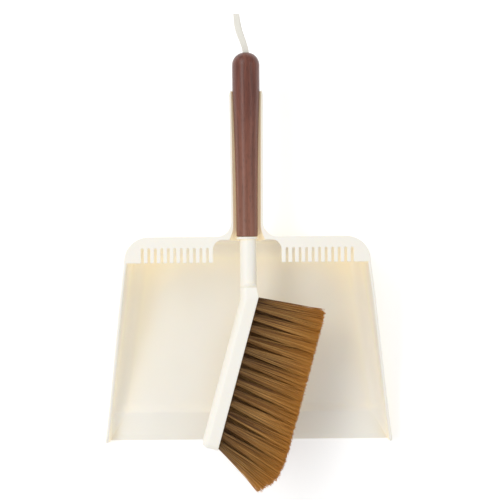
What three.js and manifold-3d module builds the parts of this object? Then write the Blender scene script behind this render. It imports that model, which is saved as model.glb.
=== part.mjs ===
// A dust pan and hand brush. The pan lies on its floor with the brush clipped into its channel-shaped handle.
// Millimetres. X runs across the pan, Y from the pan's mouth to the end of the handle, Z up from the floor.
// Everything is first placed with Y = 0 at the pan's lip; the last lines move the group to its own origin,
// the middle of the footprint of the pan and brush.
import * as THREE from 'three';
import { mergeVertices } from 'three/addons/utils/BufferGeometryUtils.js';
import Module from 'manifold-3d';

const wasm = await Module();
wasm.setup();

// ---- Driving dimensions -------------------------------------------------------------------------------
// The pan's tub
const PAN_MOUTH_WIDTH = 239;
const PAN_REAR_WIDTH = 200;
const PAN_DEPTH = 169.5;
const PAN_HEIGHT = 54;
const MOUTH_WALL_HEIGHT = 15;
const PAN_WALL = 2.6;
const PAN_DRAFT = 0.05;
const REAR_CORNER_RADIUS = 20;
const FLOOR_THICKNESS = 2.6;
const FLOOR_FILLET = 11.5;
const WALL_NOSE = 1.6;
const WALL_NOSE_RADIUS = 6;
const LIP_THICKNESS = 0.7;
const LIP_BEVEL_DEPTH = 4;
const LIP_BEVEL_RISE = 1;
const RAMP_DEPTH = 23;
const RAMP_RISE = 4.2;
const RAMP_BACK_DEPTH = 8;
const UNDERSIDE_FILLET_HEIGHT = 12.7;
// The hood and its comb
const HOOD_DEPTH = 21;
const HOOD_THICKNESS = 2.2;
const CUTOUT_WIDTH = 55.4;
const CUTOUT_RADIUS = 8;
const COMB_SLOTS = 11;
const COMB_SLOT_WIDTH = 2;
const COMB_SLOT_DEPTH = 12;
const COMB_INNER_LAND = 3.5;
const COMB_OUTER_LAND = 14.2;
// The channel that is the pan's handle
const CHANNEL_LENGTH = 118;
const CHANNEL_WALL = 2;
const CHANNEL_GAP_TOP = 0.75;
const CHANNEL_GAP_PAN = 2.2;
const CHANNEL_LIP = 2;
const CHANNEL_OUTER_FLARE = 12;
const CHANNEL_INNER_FLARE = 3.6;
const CHANNEL_END_ROUND = 4;
const CHANNEL_END_WALL = 0.4;
// The brush's wooden handle
const GRIP_LENGTH = 149.2;
const GRIP_RADIUS = 11.1;
const GRIP_WAIST_RADIUS = 8.7;
const GRIP_DOME = 11;
const GRIP_DOME_FULLNESS = 2.15;
const GRIP_FULL_LENGTH = 32;
const GRIP_CHAMFER = 0.7;
const TANG_RADIUS = 4.5;
const TANG_LENGTH = 58;
const LOOP_HOLE_RADIUS = 3;
const LOOP_HOLE_DEPTH = 14;
// The brush's head
const NECK_RADIUS = 6.65;
const NECK_OFFSET = 0.65;
const COLLAR_HEIGHT = 1.9;
const COLLAR_BEVEL = 0.4;
const COLLAR_RADIUS = 8.6;
const HEAD_LENGTH = 126.8;
const HEAD_WIDTH = 29;
const HEAD_THICKNESS = 14;
const HEAD_CROWN = 6;
const HEAD_ANGLE = 15.36;
const HEAD_TOE_ROUND = 5;
const HEAD_TOE_REACH = 1.6;
const HEAD_EDGE = 0.6;
const HEEL_X = 9;
const HEEL_DROP = 48.4;
const HEEL_SKEW = 6.5;
const HEEL_RUN = 11;
const HEEL_LENGTH = 7.3;
const HEEL_BEVEL = 1.8;
const SHOULDER_LENGTH = 4;
// The tufts
const TUFT_ROWS = 4;
const TUFTS_PER_ROW = 14;
const TUFT_RADIUS = 2.4;
const TUFT_HOLE_DEPTH = 9;
const TUFT_COLLAR = 0.5;
const TUFT_HEEL_MARGIN = 3.7;
const TUFT_TOE_MARGIN = 3.4;
const TUFT_SIDE_MARGIN = 4.4;
const TUFT_FREE_LENGTH = 55;
const TUFT_TOE_SHORTENING = 10.8;
const TUFT_SPLAY = 1.24;
const TUFT_HEEL_LEAN = -1.5;
const TUFT_LEAN_RISE = 16.5;
const TUFT_TOE_FAN = 12.5;
// The hanging loop, a flat strap
const LOOP_WIDTH = 5;
const LOOP_THICKNESS = 0.9;
const LOOP_LEG_GAP = 1;
const LOOP_ROOT_CLEARANCE = 4;
// Clearances between pieces
const GAP = 0.3;

// ---- Dimensions that follow from them -----------------------------------------------------------------
const AXIS_Z = PAN_HEIGHT - CHANNEL_LIP;
const GRIP_START = PAN_DEPTH;
const GRIP_END = GRIP_START + GRIP_LENGTH;
const TUFT_HOLE_RADIUS = TUFT_RADIUS + GAP;
const TANG_BORE_RADIUS = TANG_RADIUS + GAP;
const HEEL_Y = GRIP_START - HEEL_DROP;
const BRUSH_X = 0;
// How far a cutting shape runs past what it cuts.
const OVERRUN = 10;

const CREAM = { color: 0xf3ecdc, roughness: 0.42, metalness: 0 };
const WALNUT = { color: 0x5d3326, roughness: 0.5, metalness: 0 };
const FILAMENT = { color: 0xa8722f, roughness: 0.6, metalness: 0 };
const STRAP = { color: 0xefece2, roughness: 0.85, metalness: 0 };

// ---- Solids -------------------------------------------------------------------------------------------
const lerp = THREE.MathUtils.lerp;
const radians = THREE.MathUtils.degToRad;

function closedGeometry(points, triangles) {
  const raw = new THREE.BufferGeometry();
  raw.setAttribute('position', new THREE.Float32BufferAttribute(points.flatMap((p) => p.toArray()), 3));
  raw.setIndex(triangles.flat());
  const merged = mergeVertices(raw, 1e-4);
  const index = merged.getIndex().array;
  const kept = [];
  for (let i = 0; i < index.length; i += 3) {
    const [a, b, c] = index.slice(i, i + 3);
    if (a !== b && b !== c && c !== a) {
      kept.push(a, b, c);
    }
  }
  merged.setIndex(kept);
  return signedVolume(merged) < 0 ? turnedInsideOut(merged) : merged;
}

function signedVolume(geometry) {
  const at = geometry.getAttribute('position');
  const index = geometry.getIndex().array;
  const corner = (i) => new THREE.Vector3().fromBufferAttribute(at, index[i]);
  let volume = 0;
  for (let i = 0; i < index.length; i += 3) {
    volume += corner(i).dot(corner(i + 1).cross(corner(i + 2))) / 6;
  }
  return volume;
}

function turnedInsideOut(geometry) {
  const index = Array.from(geometry.getIndex().array);
  for (let i = 0; i < index.length; i += 3) {
    [index[i], index[i + 1]] = [index[i + 1], index[i]];
  }
  geometry.setIndex(index);
  return geometry;
}

// Joins rings of equal length into one closed solid. Each ring is a half outline; reflect() gives the point
// opposite, and the two ends are closed by strips between opposite points.
function mirrorLoft(halfRings, reflect) {
  const rings = halfRings.map((half) => [...half, ...half.map(reflect).reverse()]);
  const count = rings[0].length;
  const triangles = [];
  for (let r = 0; r + 1 < rings.length; r++) {
    for (let i = 0; i < count; i++) {
      const j = (i + 1) % count;
      const low = r * count;
      const high = low + count;
      triangles.push([low + i, low + j, high + j], [low + i, high + j, high + i]);
    }
  }
  const last = (rings.length - 1) * count;
  for (let i = 0; i + 1 < count / 2; i++) {
    const [a, b, c, d] = [i, i + 1, count - 2 - i, count - 1 - i];
    triangles.push([a, c, b], [a, d, c]);
    triangles.push([last + a, last + b, last + c], [last + a, last + c, last + d]);
  }
  return closedGeometry(rings.flat(), triangles);
}

const acrossPan = (p) => new THREE.Vector3(-p.x, p.y, p.z);
const acrossBrush = (p) => new THREE.Vector3(p.x, p.y, 2 * AXIS_Z - p.z);

function solid(geometry) {
  const bare = geometry.clone();
  bare.deleteAttribute('normal');
  bare.deleteAttribute('uv');
  const merged = mergeVertices(bare, 1e-4);
  return new wasm.Manifold(new wasm.Mesh({
    numProp: 3,
    vertProperties: new Float32Array(merged.getAttribute('position').array),
    triVerts: new Uint32Array(merged.getIndex().array),
  }));
}

function geometryOf(body) {
  const mesh = body.getMesh();
  const geometry = new THREE.BufferGeometry();
  geometry.setAttribute('position', new THREE.BufferAttribute(mesh.vertProperties, 3));
  geometry.setIndex(new THREE.BufferAttribute(mesh.triVerts, 1));
  return geometry;
}

function box(low, high) {
  const size = new THREE.Vector3().subVectors(high, low);
  const geometry = new THREE.BoxGeometry(size.x, size.y, size.z);
  geometry.translate(low.x + size.x / 2, low.y + size.y / 2, low.z + size.z / 2);
  return geometry;
}

// A solid whose outline is drawn in plan and which stands from z = bottom to z = top.
function standing(shape, bottom, top, curveSegments = 6) {
  const geometry = new THREE.ExtrudeGeometry(shape, { depth: top - bottom, bevelEnabled: false, curveSegments });
  return geometry.translate(0, 0, bottom);
}

// A solid whose outline is drawn from the side, as (Y, Z), and which spans the whole width.
function spanning(shape, width, curveSegments = 6) {
  const geometry = new THREE.ExtrudeGeometry(shape, { depth: width, bevelEnabled: false, curveSegments });
  const turn = new THREE.Matrix4().makeBasis(
    new THREE.Vector3(0, 1, 0), new THREE.Vector3(0, 0, 1), new THREE.Vector3(1, 0, 0));
  return geometry.applyMatrix4(turn).translate(-width / 2, 0, 0);
}

function piece(name, geometry, finish) {
  const mesh = new THREE.Mesh(geometry, new THREE.MeshStandardMaterial(finish));
  mesh.name = name;
  return mesh;
}

// ---- The pan ------------------------------------------------------------------------------------------
// How far the leaning walls have drawn in at height z.
const draftAt = (z) => (PAN_HEIGHT - z) * PAN_DRAFT;

// Half the pan's outside width at a distance y from the lip, where the leaning walls reach the hood's height.
// PAN_MOUTH_WIDTH itself is measured at the low rim of the mouth.
function rimHalfWidth(y) {
  const mouth = PAN_MOUTH_WIDTH / 2 + draftAt(MOUTH_WALL_HEIGHT);
  return lerp(mouth, PAN_REAR_WIDTH / 2, y / (PAN_DEPTH - REAR_CORNER_RADIUS));
}

// The inside of the floor: lip, bevel, ramp, the soft fall behind it, and the level floor.
function floorHeight(y) {
  const bevelTop = LIP_THICKNESS + LIP_BEVEL_RISE;
  if (y <= LIP_BEVEL_DEPTH) {
    return lerp(LIP_THICKNESS, bevelTop, Math.max(0, y) / LIP_BEVEL_DEPTH);
  }
  if (y <= RAMP_DEPTH) {
    return lerp(bevelTop, RAMP_RISE, (y - LIP_BEVEL_DEPTH) / (RAMP_DEPTH - LIP_BEVEL_DEPTH));
  }
  const back = Math.min(1, (y - RAMP_DEPTH) / RAMP_BACK_DEPTH);
  return lerp(RAMP_RISE, FLOOR_THICKNESS, THREE.MathUtils.smoothstep(back, 0, 1));
}

// How much of the full radius between floor and wall is left at y: none at the lip, all of it behind the ramp.
function filletShare(y) {
  return THREE.MathUtils.clamp(y / RAMP_DEPTH, 0.05, 1);
}

const PAN_STATIONS = [
  0,
  LIP_BEVEL_DEPTH,
  (LIP_BEVEL_DEPTH + RAMP_DEPTH) / 2,
  RAMP_DEPTH,
  RAMP_DEPTH + RAMP_BACK_DEPTH * 0.4,
  RAMP_DEPTH + RAMP_BACK_DEPTH,
  (RAMP_DEPTH + RAMP_BACK_DEPTH + PAN_DEPTH) / 2,
];
const CORNER_STEPS = 8;

// The right half of the pan's outline, pulled in by `inset` plus `fillet` where the fillet is whole, at height
// `height` above the surface that `ground` gives.
function panRing(front, inset, fillet, height, ground) {
  const points = [];
  const add = (x, y) => points.push(new THREE.Vector3(x, y, height + ground(y)));
  const straightEnd = PAN_DEPTH - REAR_CORNER_RADIUS;
  for (const y of [front, ...PAN_STATIONS.filter((y) => y > front && y < straightEnd)]) {
    add(rimHalfWidth(Math.max(y, -WALL_NOSE)) - inset - fillet * filletShare(y), y);
  }
  const radius = REAR_CORNER_RADIUS - inset - fillet;
  const centreX = rimHalfWidth(straightEnd) - REAR_CORNER_RADIUS;
  for (let i = 0; i <= CORNER_STEPS; i++) {
    const angle = (Math.PI / 2) * (i / CORNER_STEPS);
    add(centreX + radius * Math.cos(angle), straightEnd + radius * Math.sin(angle));
  }
  return points;
}

const FILLET_STEPS = 5;

function panBlock() {
  const level = () => 0;
  const rings = [];
  for (let i = 0; i <= FILLET_STEPS; i++) {
    const angle = (Math.PI / 2) * (i / FILLET_STEPS);
    const z = UNDERSIDE_FILLET_HEIGHT * (1 - Math.cos(angle));
    const pulledIn = FLOOR_FILLET * (1 - Math.sin(angle));
    rings.push(panRing(-WALL_NOSE, draftAt(z), pulledIn, z, level));
  }
  rings.push(panRing(-WALL_NOSE, 0, 0, PAN_HEIGHT, level));
  return solid(mirrorLoft(rings, acrossPan));
}

function panCavity() {
  const rings = [];
  for (let i = 0; i <= FILLET_STEPS; i++) {
    const angle = (Math.PI / 2) * (i / FILLET_STEPS);
    const height = FLOOR_FILLET * (1 - Math.cos(angle));
    const pulledIn = FLOOR_FILLET * (1 - Math.sin(angle));
    rings.push(panRing(-OVERRUN, PAN_WALL + draftAt(height), pulledIn, height, floorHeight));
  }
  rings.push(panRing(-OVERRUN, PAN_WALL, 0, PAN_HEIGHT + OVERRUN, () => 0));
  return solid(mirrorLoft(rings, acrossPan));
}

// Everything above the side walls' sloping rim, drawn from the side. The rim rises from the rounded nose of
// the wall to the hood, and eases into both.
function aboveRim() {
  const hoodFront = PAN_DEPTH - HOOD_DEPTH;
  const top = PAN_HEIGHT + OVERRUN;
  const roofed = PAN_HEIGHT + 0.001;
  const noseTop = MOUTH_WALL_HEIGHT;
  const rise = PAN_HEIGHT - MOUTH_WALL_HEIGHT;
  const shape = new THREE.Shape();
  shape.moveTo(-WALL_NOSE - OVERRUN, top);
  shape.lineTo(-WALL_NOSE - OVERRUN, noseTop - WALL_NOSE_RADIUS);
  shape.lineTo(-WALL_NOSE, noseTop - WALL_NOSE_RADIUS);
  shape.quadraticCurveTo(-WALL_NOSE, noseTop, -WALL_NOSE + WALL_NOSE_RADIUS, noseTop);
  shape.bezierCurveTo(
    hoodFront * 0.3, noseTop + rise * 0.1,
    hoodFront * 0.72, PAN_HEIGHT - rise * 0.1,
    hoodFront - HOOD_THICKNESS, roofed);
  shape.lineTo(PAN_DEPTH + OVERRUN, roofed);
  shape.lineTo(PAN_DEPTH + OVERRUN, top);
  shape.closePath();
  return solid(spanning(shape, PAN_MOUTH_WIDTH + 4 * OVERRUN, 10));
}

// One slot of the comb, open at the hood's front edge and rounded at its closed end.
function combSlot(x) {
  const front = PAN_DEPTH - HOOD_DEPTH - OVERRUN;
  const radius = COMB_SLOT_WIDTH / 2;
  const back = PAN_DEPTH - HOOD_DEPTH + COMB_SLOT_DEPTH - radius;
  const shape = new THREE.Shape();
  shape.moveTo(x - radius, front);
  shape.lineTo(x + radius, front);
  shape.lineTo(x + radius, back);
  shape.absarc(x, back, radius, 0, Math.PI, false);
  shape.closePath();
  return solid(standing(shape, PAN_HEIGHT - HOOD_THICKNESS - OVERRUN, PAN_HEIGHT + OVERRUN, 3));
}

function combSlotPlaces() {
  const inner = CUTOUT_WIDTH / 2 + COMB_INNER_LAND + COMB_SLOT_WIDTH / 2;
  const outer = rimHalfWidth(PAN_DEPTH - HOOD_DEPTH) - COMB_OUTER_LAND - COMB_SLOT_WIDTH / 2;
  return Array.from({ length: COMB_SLOTS }, (_, i) => lerp(inner, outer, i / (COMB_SLOTS - 1)));
}

// The opening in the middle of the hood, which the brush's neck passes through.
function hoodCutout() {
  const half = CUTOUT_WIDTH / 2;
  const front = PAN_DEPTH - HOOD_DEPTH - OVERRUN;
  const back = PAN_DEPTH - PAN_WALL;
  const shape = new THREE.Shape();
  shape.moveTo(-half, front);
  shape.lineTo(half, front);
  shape.lineTo(half, back - CUTOUT_RADIUS);
  shape.absarc(half - CUTOUT_RADIUS, back - CUTOUT_RADIUS, CUTOUT_RADIUS, 0, Math.PI / 2, false);
  shape.absarc(CUTOUT_RADIUS - half, back - CUTOUT_RADIUS, CUTOUT_RADIUS, Math.PI / 2, Math.PI, false);
  shape.closePath();
  return solid(standing(shape, PAN_HEIGHT - HOOD_THICKNESS - OVERRUN, PAN_HEIGHT + OVERRUN, 5));
}

function hood(block) {
  const reach = PAN_MOUTH_WIDTH;
  const slab = box(
    new THREE.Vector3(-reach, PAN_DEPTH - HOOD_DEPTH, PAN_HEIGHT - HOOD_THICKNESS),
    new THREE.Vector3(reach, PAN_DEPTH + OVERRUN, PAN_HEIGHT + OVERRUN));
  let plate = block.intersect(solid(slab)).subtract(hoodCutout());
  for (const x of combSlotPlaces()) {
    plate = plate.subtract(combSlot(x)).subtract(combSlot(-x));
  }
  return plate;
}

// The grip's radius as a straight taper along the channel, which the channel follows with its gaps.
const channelShare = (y) => THREE.MathUtils.clamp((y - PAN_DEPTH) / CHANNEL_LENGTH, 0, 1);
const taperedGrip = (y) => lerp(GRIP_WAIST_RADIUS, GRIP_RADIUS, channelShare(y));
const channelGap = (y) => lerp(CHANNEL_GAP_PAN, CHANNEL_GAP_TOP, channelShare(y));
const SECTION_STEPS = 9;

// The right half of a U-shaped section: straight sides above the grip's axis and half an ellipse below it.
function channelRing(y, halfWidth, depth, top) {
  const points = [new THREE.Vector3(halfWidth, y, top)];
  for (let i = 0; i < SECTION_STEPS; i++) {
    const angle = (Math.PI / 2) * (i / (SECTION_STEPS - 0.5));
    points.push(new THREE.Vector3(halfWidth * Math.cos(angle), y, AXIS_Z - depth * Math.sin(angle)));
  }
  return points;
}

// How far a quarter round of the given radius stands out at a distance from its far end.
function flareOut(distance, radius) {
  const left = Math.max(0, radius - distance);
  return radius - Math.sqrt(radius * radius - Math.min(left, radius) ** 2);
}

function channelOutside() {
  const end = PAN_DEPTH + CHANNEL_LENGTH;
  const start = PAN_DEPTH - PAN_WALL;
  const flareStations = [0, 0.06, 0.2, 0.4, 0.65, 1].map((f) => PAN_DEPTH + f * CHANNEL_OUTER_FLARE);
  const endStations = [1, 0.6, 0.3, 0.1, 0].map((f) => end - f * CHANNEL_END_ROUND);
  const rings = [start, ...flareStations, ...endStations].map((y) => {
    const flare = flareOut(Math.max(0, y - PAN_DEPTH), CHANNEL_OUTER_FLARE);
    const thinning = (CHANNEL_WALL - CHANNEL_END_WALL) / CHANNEL_END_ROUND;
    const rounding = flareOut(end - y, CHANNEL_END_ROUND) * thinning;
    const side = taperedGrip(y) + channelGap(y) + CHANNEL_WALL + flare - rounding;
    const depth = taperedGrip(y) + GAP + CHANNEL_WALL + flare - rounding;
    return channelRing(y, side, depth, PAN_HEIGHT);
  });
  return solid(mirrorLoft(rings, acrossPan));
}

function channelInside() {
  const end = PAN_DEPTH + CHANNEL_LENGTH;
  const wallInside = PAN_DEPTH - PAN_WALL;
  const stations = [-0.3, 0, 0.2, 0.4, 0.7, 1].map((f) => wallInside + f * CHANNEL_OUTER_FLARE);
  const rings = [...stations, end, end + OVERRUN].map((y) => {
    const share = THREE.MathUtils.clamp(1 - (y - wallInside) / CHANNEL_OUTER_FLARE, 0, 1.2);
    const flare = CHANNEL_INNER_FLARE * share * share;
    const side = taperedGrip(y) + channelGap(y) + flare;
    const depth = taperedGrip(y) + GAP + flare;
    return channelRing(y, side, depth, PAN_HEIGHT + OVERRUN);
  });
  return solid(mirrorLoft(rings, acrossPan));
}

function panShell() {
  const block = panBlock();
  const mouthStrip = box(
    new THREE.Vector3(PAN_WALL - PAN_MOUTH_WIDTH / 2 + draftAt(0), -WALL_NOSE - OVERRUN, -OVERRUN),
    new THREE.Vector3(PAN_MOUTH_WIDTH / 2 - PAN_WALL - draftAt(0), 0, PAN_HEIGHT + OVERRUN));
  const tub = block.subtract(panCavity()).subtract(aboveRim()).subtract(solid(mouthStrip));
  return geometryOf(tub.add(hood(block)).add(channelOutside()).subtract(channelInside()));
}

// ---- The brush ----------------------------------------------------------------------------------------
function woodenHandle() {
  const profile = [];
  const add = (radius, y) => profile.push(new THREE.Vector2(radius, y));
  const domeStart = GRIP_END - GRIP_DOME;
  const power = 2 / GRIP_DOME_FULLNESS;
  const mouthAngle = Math.acos((LOOP_HOLE_RADIUS / GRIP_RADIUS) ** (1 / power));
  add(0, GRIP_END - LOOP_HOLE_DEPTH);
  add(LOOP_HOLE_RADIUS, GRIP_END - LOOP_HOLE_DEPTH);
  for (let i = 0; i <= 8; i++) {
    const angle = mouthAngle * (1 - i / 8);
    add(GRIP_RADIUS * Math.cos(angle) ** power, domeStart + GRIP_DOME * Math.sin(angle) ** power);
  }
  const fullEnd = GRIP_END - GRIP_FULL_LENGTH;
  for (let i = 0; i <= 6; i++) {
    const share = 1 - i / 6;
    const swell = share * share;
    const from = GRIP_START + GRIP_CHAMFER;
    add(lerp(GRIP_WAIST_RADIUS, GRIP_RADIUS, swell), lerp(from, fullEnd, share));
  }
  add(GRIP_WAIST_RADIUS - GRIP_CHAMFER, GRIP_START);
  add(TANG_BORE_RADIUS, GRIP_START);
  add(TANG_BORE_RADIUS, GRIP_START + TANG_LENGTH + GAP);
  add(0, GRIP_START + TANG_LENGTH + GAP);
  const lathe = new THREE.LatheGeometry(profile, 28);
  lathe.translate(BRUSH_X, 0, AXIS_Z);
  return geometryOf(solid(uprightLathe(lathe)));
}

// A lathe's seam and poles merged, and its faces turned outward.
function uprightLathe(lathe) {
  lathe.deleteAttribute('normal');
  lathe.deleteAttribute('uv');
  const at = lathe.getAttribute('position');
  const points = Array.from({ length: at.count }, (_, i) => new THREE.Vector3().fromBufferAttribute(at, i));
  const index = Array.from(lathe.getIndex().array);
  const triangles = [];
  for (let i = 0; i < index.length; i += 3) {
    triangles.push(index.slice(i, i + 3));
  }
  return closedGeometry(points, triangles);
}

const headTurn = radians(HEAD_ANGLE);
const ALONG_HEAD = new THREE.Vector3(-Math.sin(headTurn), -Math.cos(headTurn), 0);
const OUT_OF_HEAD = new THREE.Vector3(Math.cos(headTurn), -Math.sin(headTurn), 0);
const HEEL = new THREE.Vector3(BRUSH_X + HEEL_X, HEEL_Y, AXIS_Z);
const RING_STEPS = 9;

// A point of the head's own space: s along the root face from the heel, n out of the face, z across.
function headPoint(s, n, z) {
  return HEEL.clone().addScaledVector(ALONG_HEAD, s).addScaledVector(OUT_OF_HEAD, n).setZ(AXIS_Z + z);
}

// The upper half of the block's section at s: a flat root face, upright sides and a crowned back, which lies
// `skew` further along the head than the root face.
function blockRing(s, shrink, skew = 0) {
  const half = HEAD_WIDTH / 2 - shrink;
  const sideEnd = -(HEAD_THICKNESS - HEAD_CROWN);
  const at = (n, z) => headPoint(s - skew * n / HEAD_THICKNESS, n, z);
  const points = [at(0, half - HEAD_EDGE), at(-HEAD_EDGE, half)];
  for (let i = 0; i < RING_STEPS; i++) {
    const angle = (Math.PI / 2) * (i / (RING_STEPS - 0.5));
    const n = sideEnd - (HEAD_CROWN - shrink) * Math.sin(angle) ** 0.9;
    points.push(at(n, half * Math.cos(angle) ** 0.7));
  }
  return points;
}

// The upper half of a round section of the neck, in the same order of points.
function neckRing(y, radius, centreX) {
  return Array.from({ length: RING_STEPS + 2 }, (_, i) => {
    const angle = Math.PI * ((i + 0.5) / (RING_STEPS + 2));
    return new THREE.Vector3(centreX + radius * Math.cos(angle), y, AXIS_Z + radius * Math.sin(angle));
  });
}

// The upper half of the heel's end, square to the neck: as wide as the neck and nearly as tall as the block.
function heelEndRing(y) {
  return blockRing(0, 0).map((p) => {
    const across = p.clone().sub(HEEL).dot(OUT_OF_HEAD) / -HEAD_THICKNESS;
    const x = lerp(NECK_OFFSET + NECK_RADIUS, NECK_OFFSET - NECK_RADIUS, across);
    return new THREE.Vector3(BRUSH_X + x, y, p.z - HEEL_BEVEL * (p.z - AXIS_Z) / (HEAD_WIDTH / 2));
  });
}

function brushHeadBody() {
  const neckX = BRUSH_X + NECK_OFFSET;
  const heelEnd = HEEL_Y + HEEL_LENGTH;
  const neckStart = heelEnd + SHOULDER_LENGTH;
  const collarStart = GRIP_START - GAP - COLLAR_HEIGHT;
  const toe = HEAD_LENGTH + HEAD_TOE_REACH;
  const endRing = heelEndRing(heelEnd);
  const neckFoot = neckRing(neckStart, NECK_RADIUS, neckX);
  const shoulder = [[0.2, 0.45], [0.5, 0.8]].map(([along, inward]) => endRing.map((p, i) => new THREE.Vector3(
    lerp(p.x, neckFoot[i].x, inward),
    lerp(p.y, neckFoot[i].y, along),
    lerp(p.z, neckFoot[i].z, inward))));
  const rings = [
    blockRing(toe, HEAD_TOE_ROUND * 0.7),
    blockRing(toe - HEAD_TOE_ROUND * 0.1, HEAD_TOE_ROUND * 0.4),
    blockRing(toe - HEAD_TOE_ROUND * 0.4, HEAD_TOE_ROUND * 0.12),
    blockRing(toe - HEAD_TOE_ROUND, 0),
    blockRing(HEEL_RUN, 0),
    blockRing(0, 0, HEEL_SKEW),
    endRing,
    ...shoulder,
    neckFoot,
    neckRing(collarStart, NECK_RADIUS, neckX),
    neckRing(collarStart + COLLAR_BEVEL, COLLAR_RADIUS, BRUSH_X),
    neckRing(GRIP_START - GAP, COLLAR_RADIUS, BRUSH_X),
    neckRing(GRIP_START - GAP + 0.01, TANG_RADIUS, BRUSH_X),
    neckRing(GRIP_START + TANG_LENGTH, TANG_RADIUS, BRUSH_X),
  ];
  return solid(mirrorLoft(rings, acrossBrush));
}

// Where each tuft stands: its row, its place along the face, and its share of the face. Every other row
// starts half a pitch nearer the heel.
function tuftPlaces() {
  const places = [];
  const span = HEAD_LENGTH - TUFT_HEEL_MARGIN - TUFT_TOE_MARGIN;
  const pitch = span / (TUFTS_PER_ROW - 0.5);
  const rowPitch = (HEAD_WIDTH - 2 * TUFT_SIDE_MARGIN) / (TUFT_ROWS - 1);
  for (let row = 0; row < TUFT_ROWS; row++) {
    const shift = row % 2 === 0 ? pitch / 2 : 0;
    for (let i = 0; i < TUFTS_PER_ROW; i++) {
      const s = TUFT_HEEL_MARGIN + shift + i * pitch;
      const z = (TUFT_ROWS - 1 - 2 * row) * rowPitch / 2;
      places.push({ row, i, s, z, pitch, rowPitch });
    }
  }
  return places;
}

// The first tufts stand nearly square to the face, and from there on they lean more and more towards the toe.
function leanAt(s) {
  const share = Math.max(0, s / HEAD_LENGTH);
  return radians(TUFT_HEEL_LEAN + TUFT_LEAN_RISE * share + TUFT_TOE_FAN * share ** 14);
}

// The trimmed end of what grows from s: a straight cut along the head, falling away at the toe.
function tipPoint(s, z) {
  const share = Math.max(0, s / HEAD_LENGTH);
  const out = TUFT_FREE_LENGTH - TUFT_TOE_SHORTENING * share ** 24;
  return headPoint(s + out * Math.tan(leanAt(s)), out, z);
}

// A round station of a tuft, `out` millimetres out of the root face along its lean.
function rootStation(place, out, radius) {
  const lean = leanAt(place.s);
  const middle = headPoint(place.s + out * Math.sin(lean), out * Math.cos(lean), place.z);
  const along = ALONG_HEAD.clone().multiplyScalar(Math.cos(lean)).addScaledVector(OUT_OF_HEAD, -Math.sin(lean));
  return { middle, along: along.multiplyScalar(radius), across: radius };
}

// A tuft's tip: the space between its neighbours' tips, less the gap.
function tipStation(place) {
  const z = place.z * TUFT_SPLAY;
  const low = tipPoint(place.s - place.pitch / 2, z);
  const high = tipPoint(place.s + place.pitch / 2, z);
  const along = high.clone().sub(low).multiplyScalar(0.5);
  const middle = low.clone().add(along);
  along.setLength(along.length() - GAP);
  return { middle, along, across: place.rowPitch * TUFT_SPLAY / 2 - GAP };
}

const TUFT_SIDES = 8;

// Joins eight-sided rings, each given by its middle and its two half widths.
function tuftSolid(stations) {
  const rings = stations.map(({ middle, along, across }) => Array.from({ length: TUFT_SIDES }, (_, i) => {
    const angle = 2 * Math.PI * ((i + 0.5) / TUFT_SIDES);
    const point = middle.clone().addScaledVector(along, Math.cos(angle));
    return point.setZ(point.z + across * Math.sin(angle));
  }));
  const count = TUFT_SIDES;
  const triangles = [];
  for (let r = 0; r + 1 < rings.length; r++) {
    for (let i = 0; i < count; i++) {
      const j = (i + 1) % count;
      triangles.push([r * count + i, r * count + j, (r + 1) * count + j]);
      triangles.push([r * count + i, (r + 1) * count + j, (r + 1) * count + i]);
    }
  }
  const last = (rings.length - 1) * count;
  for (let i = 1; i + 1 < count; i++) {
    triangles.push([0, i + 1, i], [last, last + i, last + i + 1]);
  }
  return closedGeometry(rings.flat(), triangles);
}

function tuft(place) {
  return tuftSolid([
    rootStation(place, GAP - TUFT_HOLE_DEPTH, TUFT_RADIUS),
    rootStation(place, TUFT_COLLAR, TUFT_RADIUS),
    tipStation(place),
  ]);
}

function brushHead() {
  let body = brushHeadBody();
  for (const place of tuftPlaces()) {
    const hole = tuftSolid([
      rootStation(place, -TUFT_HOLE_DEPTH, TUFT_HOLE_RADIUS),
      rootStation(place, TUFT_HOLE_RADIUS, TUFT_HOLE_RADIUS),
    ]);
    body = body.subtract(solid(hole));
  }
  return geometryOf(body);
}

// The strap goes out of the hole in the dome, up to the fold and back, leaning left and drooping a little.
function hangingLoop() {
  const root = GRIP_END - LOOP_HOLE_DEPTH + LOOP_ROOT_CLEARANCE;
  const leg = LOOP_LEG_GAP;
  const route = [
    [0, root, leg],
    [0, GRIP_END + 1, leg],
    [-2.2, GRIP_END + 8.5, leg + 0.8],
    [-5.2, GRIP_END + 16.5, leg + 0.4],
    [-6.8, GRIP_END + 24, -1.8],
    [-7.2, GRIP_END + 30.2, -5],
    [-7.3, GRIP_END + 32, -7.6],
    [-7.1, GRIP_END + 30.2, -9.8],
    [-6.2, GRIP_END + 24, -9],
    [-4.4, GRIP_END + 16.5, -6],
    [-1.8, GRIP_END + 8.5, -2.8],
    [0, GRIP_END + 1, -leg],
    [0, root, -leg],
  ].map(([x, y, z]) => new THREE.Vector3(BRUSH_X + x, y, AXIS_Z + z));
  const half = LOOP_WIDTH / 2;
  const edge = LOOP_THICKNESS / 2;
  const section = new THREE.Shape();
  section.moveTo(-edge, -half + edge);
  section.lineTo(-edge / 2, -half);
  section.lineTo(edge / 2, -half);
  section.lineTo(edge, -half + edge);
  section.lineTo(edge, half - edge);
  section.lineTo(edge / 2, half);
  section.lineTo(-edge / 2, half);
  section.lineTo(-edge, half - edge);
  section.closePath();
  const path = new THREE.CatmullRomCurve3(route, false, 'centripetal');
  const strap = new THREE.ExtrudeGeometry(section, { steps: 44, extrudePath: path, bevelEnabled: false });
  return geometryOf(solid(strap));
}

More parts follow.
